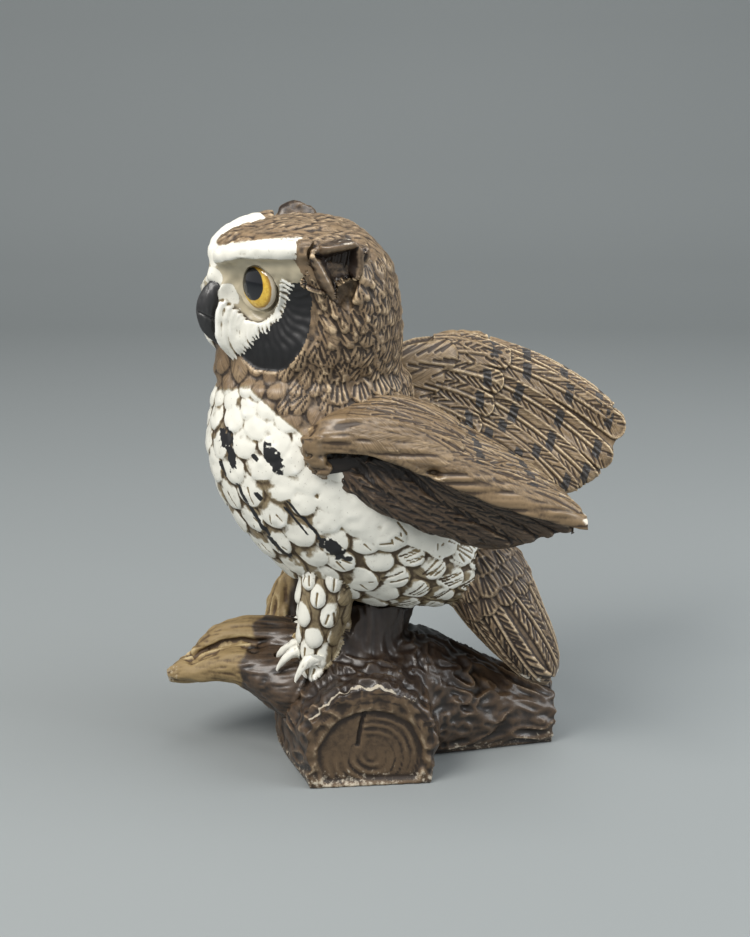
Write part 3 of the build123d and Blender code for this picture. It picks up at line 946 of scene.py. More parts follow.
def breast_feathers(tree, chance):
    """Rows of rounded feathers from the ruff to the rump, and the broad smooth ones on the flanks."""
    laid = []
    for row, step in enumerate(np.linspace(0.85, 6.9, 15)):
        grow = np.interp(step, (0.5, 2.5, 4.5, 7.0), (15.0, 17.0, 14.5, 11.5))
        wide = np.interp(step, (0.5, 2.5, 4.5, 7.0), (5.4, 6.0, 5.4, 4.2))
        girth = np.interp(step, (0.0, 3.0, 5.0, 7.0), (29.0, 36.0, 26.0, 9.0))
        gap = math.degrees(1.95 * wide / girth)
        angles = np.arange(0.5 * (row % 2) * gap, 178.0, gap)
        angles = np.concatenate([angles, -angles[angles > 1.0]])
        for feather in row_on(tree, SPINE, step, angles, grow, wide, 1.9, chance, "breast", wander=0.3,
                              round=0.33, low=0.02, blunt=1.1, waist=0.5, rim=0.1):
            rear = ease(feather.root[1], -14.0, 4.0)
            count = 4 if rear > chance.uniform(0.1, 0.9) else chance.choice((0, 1, 2))
            if feather.root[2] > 116.0:
                count = 0
            if count == 4:
                feather.cuts = [(a * feather.length, -0.55 * feather.width, (a + 0.3) * feather.length,
                                 chance.uniform(0.2, 0.7) * feather.width)
                                for a in (0.36, 0.47, 0.58, 0.69) if chance.random() < 0.85]
            else:
                feather.cuts = fan_cuts(chance, feather.length, feather.width, count, 0.62)
            feather.depth, feather.nib = (0.65, 0.33) if rear > 0.5 else (0.4, 0.3)
            laid.append(feather)
    for side in (LEFT, RIGHT):
        for start, end, wide in (((-18.0, 106.0), (11.0, 87.0), 7.0), ((-8.0, 103.0), (29.0, 82.5), 6.5)):
            root, up = hit(tree, (0.0, *start), (side, 0.0, 0.0))
            tip, up_tip = hit(tree, (0.0, *end), (side, 0.0, 0.0))
            feather = Feather(root, tip, up + up_tip, wide, 2.6, "flank", round=0.3, low=0.45, blunt=1.2,
                              waist=0.75, reach=9.0, depth=0.6)
            feather.cuts = fan_cuts(chance, feather.length, wide, 5, 0.86)
            feather.nib = 0.32
            laid.append(feather)
    return laid


def mantle_feathers(tree, chance):
    """Brown feathers over the back between the wings."""
    laid = []
    for row, step in enumerate(np.linspace(0.3, 5.6, 12)):
        angles = [a + 7.0 * (row % 2) for a in range(112, 250, 14)]
        for feather in row_on(tree, SPINE, step, angles, 13.0, 4.4, 2.2, chance, "mantle", wander=0.2,
                              round=0.35, low=0.02, blunt=1.2, waist=0.5, rim=0.2):
            feather.cuts = fan_cuts(chance, feather.length, feather.width, 4, 0.4)
            feather.depth, feather.lift = 0.75, 0.25
            laid.append(feather)
    return laid


def crown_feathers(tree, chance):
    """Short chisel strokes over the crown, all pointing back."""
    laid = []
    for _ in range(420):
        x, y = chance.uniform(-29.0, 29.0), chance.uniform(-35.0, 20.0)
        spot, facing = hit(tree, from_head([x, y, 5.0]), HEAD_AXES @ np.array([0.0, 0.0, 1.0]))
        if spot is None or to_head(spot)[2] < 17.0:
            continue
        back = HEAD_AXES @ unit([0.15 * x / 25.0 + chance.uniform(-0.25, 0.25), 1.0, 0.0])
        back = unit(back - facing * (back @ facing))
        half = chance.uniform(2.0, 3.6)
        laid.append(Feather(spot - back * half, spot + back * half, facing, chance.uniform(0.8, 1.3),
                            chance.uniform(0.45, 0.9), "crown", low=0.1, round=0.45, blunt=1.6, reach=3.0))
    return laid


def make_body():
    """Head and torso in one skin, as they were cast, then parted at the neck joint."""
    clay = Clay("owl_body", lump_of("torso_shell", "head_shell", "left_eye", "right_eye"), 0.58)
    clay.soften(4)
    neck = ease(-np.abs(clay.points[:, 2] - 141.0), -9.0, -2.5)
    clay.points += (clay.blur(clay.points, 60) - clay.points) * neck[:, None]
    # rolled lids, the rims that hide the beak's sides, the knob above it, and hollows under the ear tufts
    f = face_map(clay.points)
    orbit = np.hypot(f.back - 1.2, f.rise - 1.8)
    lid = np.exp(-((orbit - 8.4) / 0.9) ** 2)
    furrow = np.exp(-((orbit - 10.3) / 1.0) ** 2) * (f.rise < 7.0)
    sunk = 3.4 * ease(-orbit, -8.2, -6.0)
    clay.push(f.face * (1.5 * lid - 0.6 * furrow - sunk) - 3.5 * ease(f.in_ear, -1.0, 2.0))
    clay.points += (5.2 * f.rim + 2.2 * f.knob)[:, None] * (HEAD_AXES @ np.array([0.0, -1.0, 0.0]))
    clay.recast()
    clay.soften(2)
    f = face_map(clay.points)
    tree = clay.tree()
    chance = random.Random(11)
    laid = breast_feathers(tree, chance) + mantle_feathers(tree, chance)
    laid += head_feathers(tree, chance) + crown_feathers(tree, chance) + ruff_feathers(tree, chance)
    laid += face_feathers(tree, chance)
    clay.lay([feather for feather in laid if feather])
    spiky = clay.kind == "white"
    line = np.interp(f.x, (0.0, 12.0, 22.0, 30.0), (17.0, 20.8, 22.8, 23.2))
    brow = np.where((f.angle < 62.0) & (f.height > 8.0), 1.0 - np.abs(f.height - line) / 3.7, -1.0)
    brow = np.where(f.in_head > 0.5, brow, -1.0)
    edge = np.interp(f.turn, (-140, -109, -94, -67, -50, -36, -16, 6, 20),
                     (20, 24, 26.5, 27.5, 25.5, 24, 21.8, 21.3, 20.5))
    disc = (f.far < edge) & (f.angle < 75.0) & (f.turn > -150.0) | (f.angle < 40.0) & (f.far < 24.0)
    disc = f.face * (disc & (f.height < line))
    inner = disc * (~spiky)
    smooth = np.maximum(ease(brow, -0.1, 0.15), ease(clay.blur(inner, 1), 0.2, 0.6) * (f.height > -24.0))
    smooth = np.maximum(smooth, ease(f.in_ear, -0.5, 0.5))
    clay.height *= 1.0 - smooth
    clay.deep *= 1.0 - smooth
    paint_body(clay, f, brow, spiky, disc)
    crescent = (clay.marks["black"] > 0.0) * ease(f.far, 9.0, 12.0) * f.face
    spokes = np.sin(np.radians(f.turn) * 40.0 + 1.5 * np.sin(f.far * 0.5))
    clay.height += 0.3 * crescent * (0.5 + 0.5 * spokes)
    clay.height += 0.25 * lumps(clay.points, (2.5, 2.5, 2.5), 4)
    clay.carve(settle=0.8)
    part_body(clay)


def face_map(points):
    """Where each place lies on the face: by angle from the beak, and by distance and turn round the eye."""
    own = to_head(points)
    in_head = ease(points[:, 2], 136.0, 142.0)
    x, front, height = np.abs(own[:, 0]), own[:, 1], own[:, 2]
    angle = np.degrees(np.arctan2(x, -front))
    back, rise = (angle - 30.0) * math.radians(1.0) * FACE_RADIUS, height - EYE_HEART[2]
    face = in_head * (front < 6.0) * (height > -30.0)
    rim = (np.exp(-((x - 6.0) / 1.9) ** 2) * (front < -22.0)
           * ease(height, -19.0, -8.0) * ease(-height, -12.0, -5.0))
    knob = np.exp(-((own[:, 0] / 3.8) ** 2 + ((height - 9.5) / 3.2) ** 2)) * (front < -22.0)
    in_ear = within(EAR_HOLLOW, front, height) - 9.0 * (1.0 - ease(x, 14.0, 20.0) * in_head)
    return types.SimpleNamespace(in_head=in_head, x=x, height=height, angle=angle, back=back, rise=rise,
                                 far=np.hypot(back, rise), turn=np.degrees(np.arctan2(rise, back)), face=face,
                                 rim=rim * face, knob=knob * in_head, in_ear=in_ear)


def within(corners, y, z):
    """How far inside a rounded outline each place lies, seen from the side."""
    inside = np.full(len(y), 99.0)
    for start, end in zip(corners, np.roll(corners, -1, axis=0)):
        line = unit(end - start)
        inside = np.minimum(inside, (y - start[0]) * line[1] - (z - start[1]) * line[0])
    return inside


def paint_body(clay, f, brow, spiky, disc):
    """Marks where the body is white, black, cream, olive or left brown."""
    points = clay.points
    # the face
    gap = np.interp(f.turn, (-125.0, -105.0, -85.0, -55.0, -20.0, 10.0), (22.0, 16.5, 13.0, 11.3, 11.0, 12.5))
    white = np.maximum.reduce([brow * 2.5, np.where(spiky, 1.0, -1.0), f.knob * 4.0 - 0.8, f.rim * 3.0 - 1.3])
    free = (disc > 0.5) & (white < 0.0)
    black = np.where(free & (f.turn < 14.0 + 0.8 * (20.0 - f.far)) & (f.far > gap), 1.0, -1.0)
    # the eye sockets: cream paint darkened to stand for shade in the hollow round each eye, painted through
    # the worn mark
    shaded_socket = np.where(free & (black < 0.0), 1.0, -1.0)
    # the breast: each feather is white on its raised part, and the gaps keep the wash
    ragged = 1.8 * lumps(points, (3.0, 3.0, 7.0), 2)
    neck = (points[:, 2] + ragged - 135.5 - 0.27 * f.x) / 2.5
    mantle = np.minimum((points[:, 2] - 114.0) / 3.0, (points[:, 1] + 9.0 + ragged) / 3.0)
    rump = (points[:, 1] - 46.0 + 1.3 * (points[:, 2] - 72.0)) / 3.0
    brown = np.maximum.reduce([neck, mantle, rump])
    raised = np.minimum((clay.edge - 0.5) / 0.8, (clay.height - 0.75) / 0.6)
    broad = ease(points[:, 2], 104.0, 124.0) * 0.2 + ease(clay.height, 1.0, 1.6) * 0.15
    patchy = 0.7 * lumps(points, 4.0, 7) + 0.4 * lumps(points, 1.6, 8)
    breast = np.minimum(np.clip(raised + broad + patchy + 0.1, -1.0, 1.0), -brown)
    olive = np.where(brown < 0.3, 1.0, -1.0)
    ruff = f.height < -22.0
    for mark, on_head, on_torso in (("white", np.where(ruff, np.maximum(white, breast), white), breast),
                                    ("black", black, torso_dabs(clay)), ("worn", shaded_socket, -1.0),
                                    ("tan", np.where(ruff, olive, -1.0), olive)):
        clay.marks[mark] = np.clip(np.where(f.in_head > 0.5, on_head, on_torso), -1.0, 1.0)


def torso_dabs(clay):
    """Black brush dabs and hair lines on the breast and flanks."""
    marks = np.full(clay.count, -1.0)
    y, z = clay.points[:, 1], clay.points[:, 2]
    broken = 0.8 * lumps(clay.points, (1.0, 1.0, 1.0), 12) + 0.3 * lumps(clay.points, (0.7, 2.5, 2.5), 13)
    for dab_y, dab_z, lean, long, wide in (
            (-50.8, 122.5, -70.0, 3.2, 2.6), (-49.2, 116.8, -78.0, 4.6, 1.7), (-34.0, 117.8, -58.0, 5.2, 2.5),
            (-14.0, 86.2, -42.0, 6.2, 2.6), (-39.5, 104.0, -50.0, 1.8, 0.8), (-24.5, 97.5, -50.0, 8.5, 0.55),
            (-27.0, 96.5, -50.0, 6.5, 0.45), (-40.0, 94.5, -57.0, 8.5, 0.75), (-33.0, 84.5, -45.0, 6.5, 0.9),
            (-45.5, 104.0, -60.0, 4.0, 0.7), (-40.5, 117.5, -40.0, 1.6, 0.9),
            (-52.5, 111.0, -65.0, 3.0, 0.8)):
        turn = math.radians(lean)
        along = (y - dab_y) * math.cos(turn) + (z - dab_z) * math.sin(turn)
        side = -(y - dab_y) * math.sin(turn) + (z - dab_z) * math.cos(turn)
        flat = np.maximum((along / long) ** 4, 0.0) + (side / wide) ** 4
        marks = np.maximum(marks, 1.0 - flat ** 0.25 * 1.0 + (broken - 0.15) * 0.6 * min(1.0, wide / 2.0))
    return np.clip(marks * 1.3, -1.0, 1.0)


NECK_JOINT = 0.141  # metres, the flat joint between torso and head


def part_body(clay):
    """Parts the carved body at the neck joint, and closes both halves."""
    whole = clay.finished_mesh(BODY_PAINT)
    for name, slot, node, keep_low in (("owl_torso", "torso", "torso_shell", True),
                                       ("owl_head", "head", "head_shell", False)):
        half = bmesh.new()
        half.from_mesh(whole)
        everything = half.verts[:] + half.edges[:] + half.faces[:]
        bmesh.ops.bisect_plane(half, geom=everything, dist=1e-7, plane_co=(0.0, 0.0, NECK_JOINT),
                               plane_no=(0.0, 0.0, 1.0), clear_outer=keep_low, clear_inner=not keep_low)
        seam = [edge for edge in half.edges if edge.is_boundary]
        bmesh.ops.holes_fill(half, edges=seam)
        for edge in seam:
            edge.smooth = False
        mesh = bpy.data.meshes.new(name)
        half.to_mesh(mesh)
        half.free()
        mesh.materials.append(BODY_PAINT)
        place(name, mesh, slot, [node])
    bpy.data.meshes.remove(whole)


def make_beak():
    """The hooked beak, with its cutting edge."""
    clay = Clay("beak_carved", lump_of("beak"), 0.25)
    clay.soften(5)
    clay.tuck("head_shell", depth=1.5)
    own = to_head(clay.points)
    ridge = np.exp(-(own[:, 0] / 1.0) ** 2) * (own[:, 1] < -30.0)
    mouth = np.exp(-((own[:, 2] + 5.0 + 0.5 * (own[:, 1] + 36.0)) / 0.45) ** 2) * (np.abs(own[:, 0]) > 0.9)
    height = 0.45 * ridge - 0.5 * mouth + 0.12 * lumps(clay.points, (1.0, 1.0, 3.0), 3)
    clay.push(height)
    clay.note_relief(height, reach=8, full=0.4)
    clay.finish(beak_paint(), "beak", ["beak"])


def make_ear_tuft(side):
    """An ear tuft: a rolled rim round a deep dark fold."""
    name = "left_ear_tuft" if side == LEFT else "right_ear_tuft"
    clay = Clay(name + "_carved", lump_of(name), 0.3)
    clay.soften(4)
    own = to_head(clay.points) * np.array([side, 1.0, 1.0])
    if side == LEFT:
        # the near tip is worn down
        top = np.interp(own[:, 1], (-13.0, -6.0, 3.0, 6.0), (22.8, 24.8, 25.6, 22.5))
        top = top + 0.5 * lumps(own, 2.5, 2)
        own[:, 2] = np.minimum(own[:, 2], top)
        clay.points = from_head(own * np.array([side, 1.0, 1.0]))
        clay.recast()
        clay.soften(2)
    clay.tuck("head_shell", depth=2.0)
    own = to_head(clay.points) * np.array([side, 1.0, 1.0])
    _, y, z = own.T
    grow = np.array([(0.0, 2.0), (1.0, 4.0), (0.0, 2.0), (0.0, 0.0), (0.0, 0.0)]) * (side == RIGHT)
    inside = within(EAR_HOLLOW + grow, y, z)
    outward = clay.normals() @ (HEAD_AXES @ np.array([side, 0.0, 0.0]))
    facing = ease(outward, -0.1, 0.45)
    fold = ease(inside, 1.4, 3.6) * facing
    middle = -1.5 + 0.25 * (z - 15.0)
    pleats = 0.5 + 0.5 * np.sin((y - middle) * 2.4 + 0.2 * z)
    height = -4.4 * fold + 0.6 * fold * pleats - 2.0 * ease(-inside, -0.4, 2.5) * facing
    height += (0.45 * lumps(clay.points, (3.0, 3.0, 1.4), 3)
               + 0.5 * np.exp(-((inside - 0.7) / 0.8) ** 2) * facing)
    clay.push(height)
    clay.note_relief(height, reach=16, full=1.1)
    # the fold is painted darker still by lowering its relief mark: painted shade in the hollow
    clay.marks["relief"] = np.clip(clay.marks["relief"] - 0.8 * fold, -1.0, 1.0)
    worn = ease(z, 24.0, 25.4) if side == LEFT else ease(z, 29.5, 31.0)
    clay.marks["worn"] = worn * 0.7 - 0.85 + 0.45 * lumps(clay.points, 1.6, 5)
    clay.finish(TUFT_PAINT, name, [name])


# ---------------------------------------------------------------- legs and toes

def make_leg(side):
    """A leg covered in drop-shaped feathers."""
    name = "left_leg" if side == LEFT else "right_leg"
    clay = Clay(name + "_feathered", lump_of(name), 0.35)
    clay.soften(4)
    clay.tuck("torso_shell", "log_base", depth=2.5)
    tree = clay.tree()
    chance = random.Random(31 if side == LEFT else 32)
    laid = []
    for row, height in enumerate(np.arange(36.0, 80.0, 7.6)):
        for step in range(6):
            turn = math.radians(60.0 * step + 30.0 * (row % 2) + 12.0 + chance.uniform(-6.0, 6.0))
            out = np.array([math.sin(turn), -math.cos(turn), 0.0])
            middle = (side * 14.3, -19.5 + 0.2 * max(height - 52.0, 0.0), height + chance.uniform(-1.0, 1.0))
            spot, facing = hit(tree, middle, out, 25.0)
            if spot is None:
                continue
            down = unit(np.array([0.0, -0.1, -1.0]) - facing * (-facing[2]))
            size, wide = chance.uniform(5.2, 6.6), chance.uniform(3.2, 4.0)
            laid.append(Feather(spot - down * size, spot + down * size, facing, wide, 2.5, "leg", low=0.05,
                                round=0.5, blunt=1.2, waist=0.55, reach=6.0, depth=0.5,
                                cuts=fan_cuts(chance, 2.0 * size, wide, chance.choice((0, 1, 2)), 0.5)))
    clay.lay(laid)
    behind = (clay.points[:, 1] + 17.5 - 0.2 * (clay.points[:, 2] - 50.0)) / 3.0
    raised = np.minimum((clay.edge - 0.15) / 0.6, (clay.height - 0.6) / 0.5)
    clay.marks["white"] = np.clip(np.minimum(raised + 0.5 * lumps(clay.points, 3.0, 9) + 0.15, 0.5 - behind),
                                  -1.0, 1.0)
    clay.marks["tan"] = np.ones(clay.count)
    clay.carve(settle=1.1)
    clay.finish(BODY_PAINT, name, [name])


def make_toes(side):
    """Three narrow white toes with pointed claws."""
    name = "left_toes" if side == LEFT else "right_toes"
    clay = Clay(name + "_painted", lump_of(name), 0.28)
    clay.soften(5)
    height = 0.3 * lumps(clay.points, (1.5, 1.5, 4.0), 8)
    clay.push(height - 0.75)
    clay.note_relief(height, full=0.3)
    clay.marks["white"] = 0.7 + 0.6 * lumps(clay.points, 3.0, 14)
    clay.marks["tan"] = np.ones(clay.count)
    clay.finish(BODY_PAINT, name, [name])


# ---------------------------------------------------------------- wings and tail

def trim(clay):
    """Draws the skin in to the outline of the laid feathers, as seen from the side."""
    covered = clay.kind != ""
    known, bare = np.flatnonzero(covered), np.flatnonzero(~covered)
    flat = clay.points[:, [1, 2]]
    tree = KDTree(len(known))
    for index in known:
        tree.insert((flat[index][0], flat[index][1], 0.0), int(index))
    tree.balance()
    for index in bare:
        spot, _, away = tree.find((flat[index][0], flat[index][1], 0.0))
        if away < 14.0:
            clay.points[index, 1:] = (spot[0], spot[1])


def wing_feather(tree, axis, start, end, width, thick, kind="wing", **cut):
    """A wing feather between two places on the face that looks along an axis."""
    axis = np.asarray(axis, float)
    free = [k for k in range(3) if abs(axis[k]) < 0.5]
    spots = []
    for place_at in (start, end):
        origin = np.zeros(3)
        origin[free] = place_at
        spots.append(hit(tree, origin, axis, 260.0))
    (root, up_a), (tip, up_b) = spots
    if root is None and tip is None:
        return None
    if root is None:
        root = tip.copy()
        root[free] = start
        up_a = up_b
    if tip is None:
        tip = root.copy()
        tip[free] = end
        up_b = up_a
    return Feather(root, tip, up_a + up_b + axis, width, thick, kind, **cut)


def flight_cuts(chance, start, end, width, pitch=2.5, slant=2.1):
    """Barb cuts for a feather between two places."""
    return barb_cuts(chance, math.dist(start, end), width, pitch, slant, skip=0.3)


def make_right_wing():
    """The raised far wing: smooth shoulder feathers, coverts, and long barred flight feathers."""
    clay = Clay("right_wing_carved", lump_of("right_wing"), 0.42)
    clay.soften(4)
    clay.tuck("torso_shell", "head_shell", depth=2.5)
    tree = clay.tree()
    chance = random.Random(21)
    flight = [((44.0, 147.0), (86.0, 127.5), 3.4), ((44.0, 145.0), (93.5, 119.5), 4.2),
              ((42.0, 140.0), (96.5, 108.0), 4.8), ((39.0, 134.0), (92.3, 98.0), 4.8),
              ((38.0, 127.0), (86.6, 88.6), 4.8), ((35.0, 121.0), (78.4, 86.3), 4.8),
              ((31.0, 116.0), (67.5, 86.6), 4.8), ((26.0, 112.0), (57.0, 88.5), 4.8),
              ((20.0, 108.0), (45.0, 90.5), 4.8), ((12.0, 105.0), (34.0, 94.0), 4.8)]
    coverts = [((22.0, 148.5), (52.5, 146.5), 4.0), ((20.0, 144.0), (51.0, 138.5), 4.3),
               ((18.0, 139.0), (48.3, 129.5), 4.4), ((18.0, 133.0), (44.5, 120.5), 4.4),
               ((16.0, 127.0), (39.5, 113.5), 4.4), ((12.0, 121.0), (33.0, 108.5), 4.4),
               ((8.0, 115.0), (25.0, 104.0), 4.4)]
    shoulder = [((6.0, 146.0), (33.0, 149.0), 4.5), ((2.0, 140.0), (30.5, 142.5), 5.6),
                ((2.0, 134.0), (25.5, 134.0), 5.4), ((0.0, 128.0), (20.0, 125.5), 5.2),
                ((0.0, 121.0), (15.0, 117.0), 5.0)]
    laid = []
    for face in ((1.0, 0.0, 0.0), (-1.0, 0.0, 0.0)):
        bow = 3.2 * face[0]
        for start, end, wide in flight:
            laid.append(wing_feather(tree, face, start, end, wide, 0.9, "flight", low=0.7, round=0.22,
                                     blunt=1.0, waist=0.9, sag=bow, shaft=0.6, rim=0.45, depth=0.5,
                                     cuts=flight_cuts(chance, start, end, wide, 2.9), nib=0.3,
                                     tilt=0.3 * face[0], lift=0.35, bars=(0.27, 0.57, 0.87), reach=14.0))
        for start, end, wide in coverts:
            laid.append(wing_feather(tree, face, start, end, wide, 1.5, "covert", low=0.5, round=0.25,
                                     blunt=0.8, waist=0.7, sag=0.35 * bow, shaft=0.45, rim=0.4, depth=0.7,
                                     cuts=flight_cuts(chance, start, end, wide), lift=0.9, bars=(0.78,),
                                     reach=10.0))
        for start, end, wide in shoulder:
            laid.append(wing_feather(tree, face, start, end, wide, 2.2, "shoulder", low=0.1, round=0.4,
                                     blunt=0.9, waist=0.7, lift=1.3, reach=10.0, depth=0.6,
                                     cuts=flight_cuts(chance, start, end, wide, 3.2, 3.2)))
    laid = [feather for feather in laid if feather is not None]
    clay.lay(laid)
    trim(clay)
    clay.soften(1)
    clay.recast()
    clay.lay(laid)
    clay.height += 0.12 * lumps(clay.points, (1.6, 5.0, 5.0), chance.randint(1, 9))
    clay.carve(settle=1.1)
    clay.finish(WING_PAINT, "right_wing", ["right_wing"])


def make_left_wing():
    """The near wing: a rolled leading edge from the wrist and long streaked feathers to the tip."""
    lump = lump_of("left_wing")
    hook = ((36.0, -20.5, 126.5, 4.4), (37.0, -20.5, 121.0, 3.8),
            (37.0, -18.5, 116.5, 3.2), (36.5, -15.5, 114.5, 2.6))
    for (*start, wide), (*end, narrow) in zip(hook, hook[1:]):
        add_rod(lump, start, end, wide, narrow)
    clay = Clay("left_wing_carved", lump, 0.4)
    clay.soften(4)
    clay.tuck("torso_shell", "head_shell", depth=2.5)
    tree = clay.tree()
    chance = random.Random(22)
    flight = [((43.5, 8.0), (45.5, 71.5), 3.2), ((41.0, 10.0), (40.0, 69.5), 3.6),
              ((37.0, 11.0), (33.0, 66.5), 3.8), ((33.0, 12.0), (25.5, 62.5), 4.0),
              ((28.0, 12.0), (18.0, 57.5), 4.0), ((23.0, 11.0), (11.5, 51.0), 4.0),
              ((18.0, 8.0), (6.5, 43.0), 4.0), ((14.0, 4.0), (4.5, 34.0), 4.0)]
    coverts = [((40.0, -8.0), (43.0, 26.0), 3.4), ((35.0, -8.0), (37.5, 30.0), 3.8),
               ((30.0, -8.0), (30.0, 31.0), 4.0), ((24.0, -6.0), (22.5, 29.0), 4.0),
               ((18.0, -6.0), (15.0, 24.0), 4.0)]
    laid = []
    for face in ((0.0, 0.0, 1.0), (0.0, 0.0, -1.0)):
        for start, end, wide in flight:
            laid.append(wing_feather(tree, face, start, end, wide, 0.9, "flight", low=0.7, round=0.22,
                                     blunt=1.5, waist=0.8, sag=-2.0 * face[2], shaft=0.5, rim=0.35, depth=0.7,
                                     cuts=flight_cuts(chance, start, end, wide, 3.6, 4.5),
                                     tilt=0.3, lift=0.35, bars=(0.42, 0.72), reach=12.0))
        for start, end, wide in coverts:
            laid.append(wing_feather(tree, face, start, end, wide, 1.3, "covert", low=0.1, round=0.25,
                                     blunt=1.2, waist=0.7, sag=-1.0 * face[2], shaft=0.4, lift=0.7, depth=0.7,
                                     cuts=flight_cuts(chance, start, end, wide, 3.0, 4.5), reach=10.0))
    laid = [feather for feather in laid if feather is not None]
    clay.lay(laid)
    x, y, z = clay.points.T
    edge_x = np.interp(y, (-23.0, -15.0, 0.0, 16.0, 34.0, 52.0, 71.0),
                       (36.0, 39.5, 42.5, 45.5, 47.5, 47.5, 46.0))
    roll = ease(x - edge_x, -7.5, -4.5)
    streaks = lumps(clay.points, (1.5, 18.0, 1.5), 4)
    clay.deep = clay.deep * (1.0 - roll) + roll * ease(-streaks, 0.35, 0.8) * 0.9
    clay.height = clay.height * (1.0 - 0.75 * roll) + roll * (0.9 + 0.5 * streaks)
    chip = np.exp(-(((y - 19.5) / 2.4) ** 2 + ((z - 116.5) / 1.7) ** 2)) * (x > 40.0)
    clay.height -= 3.0 * chip
    clay.carve(settle=1.0)
    clay.marks["worn"] = ease(y, 64.0, 70.0) * 0.6 - 0.8 + 0.5 * lumps(clay.points, 2.5, 6)
    clay.bar = np.where(roll > 0.5, -1.0, clay.bar - 0.15)
    clay.finish(NEAR_WING_PAINT, "left_wing", ["left_wing"])


def make_lining():
    """The underside of the near wing: layers of dark brown feathers."""
    clay = Clay("wing_lining_carved", lump_of("left_wing_lining"), 0.4)
    clay.soften(4)
    clay.tuck("torso_shell", "left_wing", depth=2.0)
    tree = clay.tree()
    laid = []
    chance = random.Random(23)
    rows = [((-16.0, 118.0), (24.0, 92.0), 3.4), ((-10.0, 121.0), (36.0, 88.5), 3.4),
            ((-4.0, 120.0), (46.0, 86.5), 3.2), ((6.0, 118.0), (54.0, 89.5), 3.0),
            ((14.0, 116.0), (60.0, 92.5), 2.8), ((22.0, 114.0), (65.5, 95.5), 2.6)]
    for start, end, wide in rows:
        laid.append(wing_feather(tree, (1.0, 0.0, 0.0), start, end, wide, 1.4, "lining", low=0.6, round=0.3,
                                 blunt=1.4, waist=0.8, sag=-2.0, shaft=0.35, tilt=0.4, depth=0.6,
                                 cuts=flight_cuts(chance, start, end, wide, 3.4, 3.5), lift=0.3, reach=14.0))
    laid = [feather for feather in laid if feather is not None]
    clay.lay(laid)
    clay.height += 0.5 * lumps(clay.points, (2.0, 6.0, 2.0), 9)
    _, y, z = clay.points.T
    rim_z = np.interp(y, (-20.0, -8.0, 5.0, 20.0, 40.0), (121.0, 122.5, 120.0, 115.5, 108.0))
    # under the rim the lining is sunk and painted darker through the deep mark: painted shade under the
    # wing's rim
    shade = ease(z - rim_z, -11.0, -6.0) * ease(-y, -30.0, -10.0)
    clay.height -= 3.2 * shade
    clay.deep = np.maximum(clay.deep, 0.8 * shade)
    clay.carve(settle=0.9)
    clay.finish(LINING_PAINT, "left_wing_lining", ["left_wing_lining"])


def make_tail():
    """The tail: five long feathers under a short row of coverts."""
    clay = Clay("tail_carved", lump_of("tail"), 0.42)
    clay.soften(4)
    clay.tuck("torso_shell", "log_base", "left_wing", depth=2.0)
    tree = clay.tree()
    chance = random.Random(41)
    laid = []
    for angle, reach_out in ((180.0, 4.25), (146.0, 4.2), (114.0, 4.15), (84.0, 4.05), (56.0, 3.9),
                             (28.0, 3.8), (0.0, 3.8),
                             (-146.0, 4.2), (-114.0, 4.15), (-84.0, 4.05), (-56.0, 3.9), (-28.0, 3.8)):
        spots = []
        for step in (0.8, reach_out):
            centre, _, belly = ring(TAIL_SPINE, min(step, 3.9))
            turn = math.radians(angle)
            out = belly * math.cos(turn) + np.array([1.0, 0.0, 0.0]) * math.sin(turn)
            spots.append(hit(tree, centre, out))
        (root, up_a), (tip, up_b) = spots
        if root is None or tip is None:
            continue
        tip = tip + unit(tip - root) * (reach_out - 3.9) * 6.0
        cuts = flight_cuts(chance, root, tip, 4.4, 2.3, 1.6)
        laid.append(Feather(root, tip, up_a + up_b, 4.4, 1.3, "tail", low=0.7, round=0.28,
                            blunt=1.0, waist=0.85, shaft=0.8, cuts=cuts, depth=0.6, rim=0.3,
                            tilt=0.3, lift=0.2, reach=10.0))
    for row, step in enumerate((0.15, 0.55, 0.95)):
        angles = [a for a in range(60, 301, 24)]
        angles = [a + 12 * (row % 2) for a in angles]
        laid += row_on(tree, TAIL_SPINE, step, angles, 12.0, 3.8, 1.9, chance, "covert", low=0.2, round=0.35,
                       blunt=0.9, shaft=0.3, cuts=fan_cuts(chance, 12.0, 3.8, 4, 0.4), reach=6.0, lift=0.5)
    clay.lay(laid)
    clay.height += 0.1 * lumps(clay.points, (2.0, 5.0, 5.0), 7)
    clay.carve(settle=0.9)
    tip_wear = ease(-clay.points[:, 2], -36.0, -30.5)
    clay.marks["worn"] = tip_wear * 0.55 - 0.75 + 0.6 * lumps(clay.points, 3.0, 4)
    clay.finish(TAIL_PAINT, "tail", ["tail"])


# ---------------------------------------------------------------- log and branch

RING_GAP = 2.9  # from one ring of the sawn end to the next


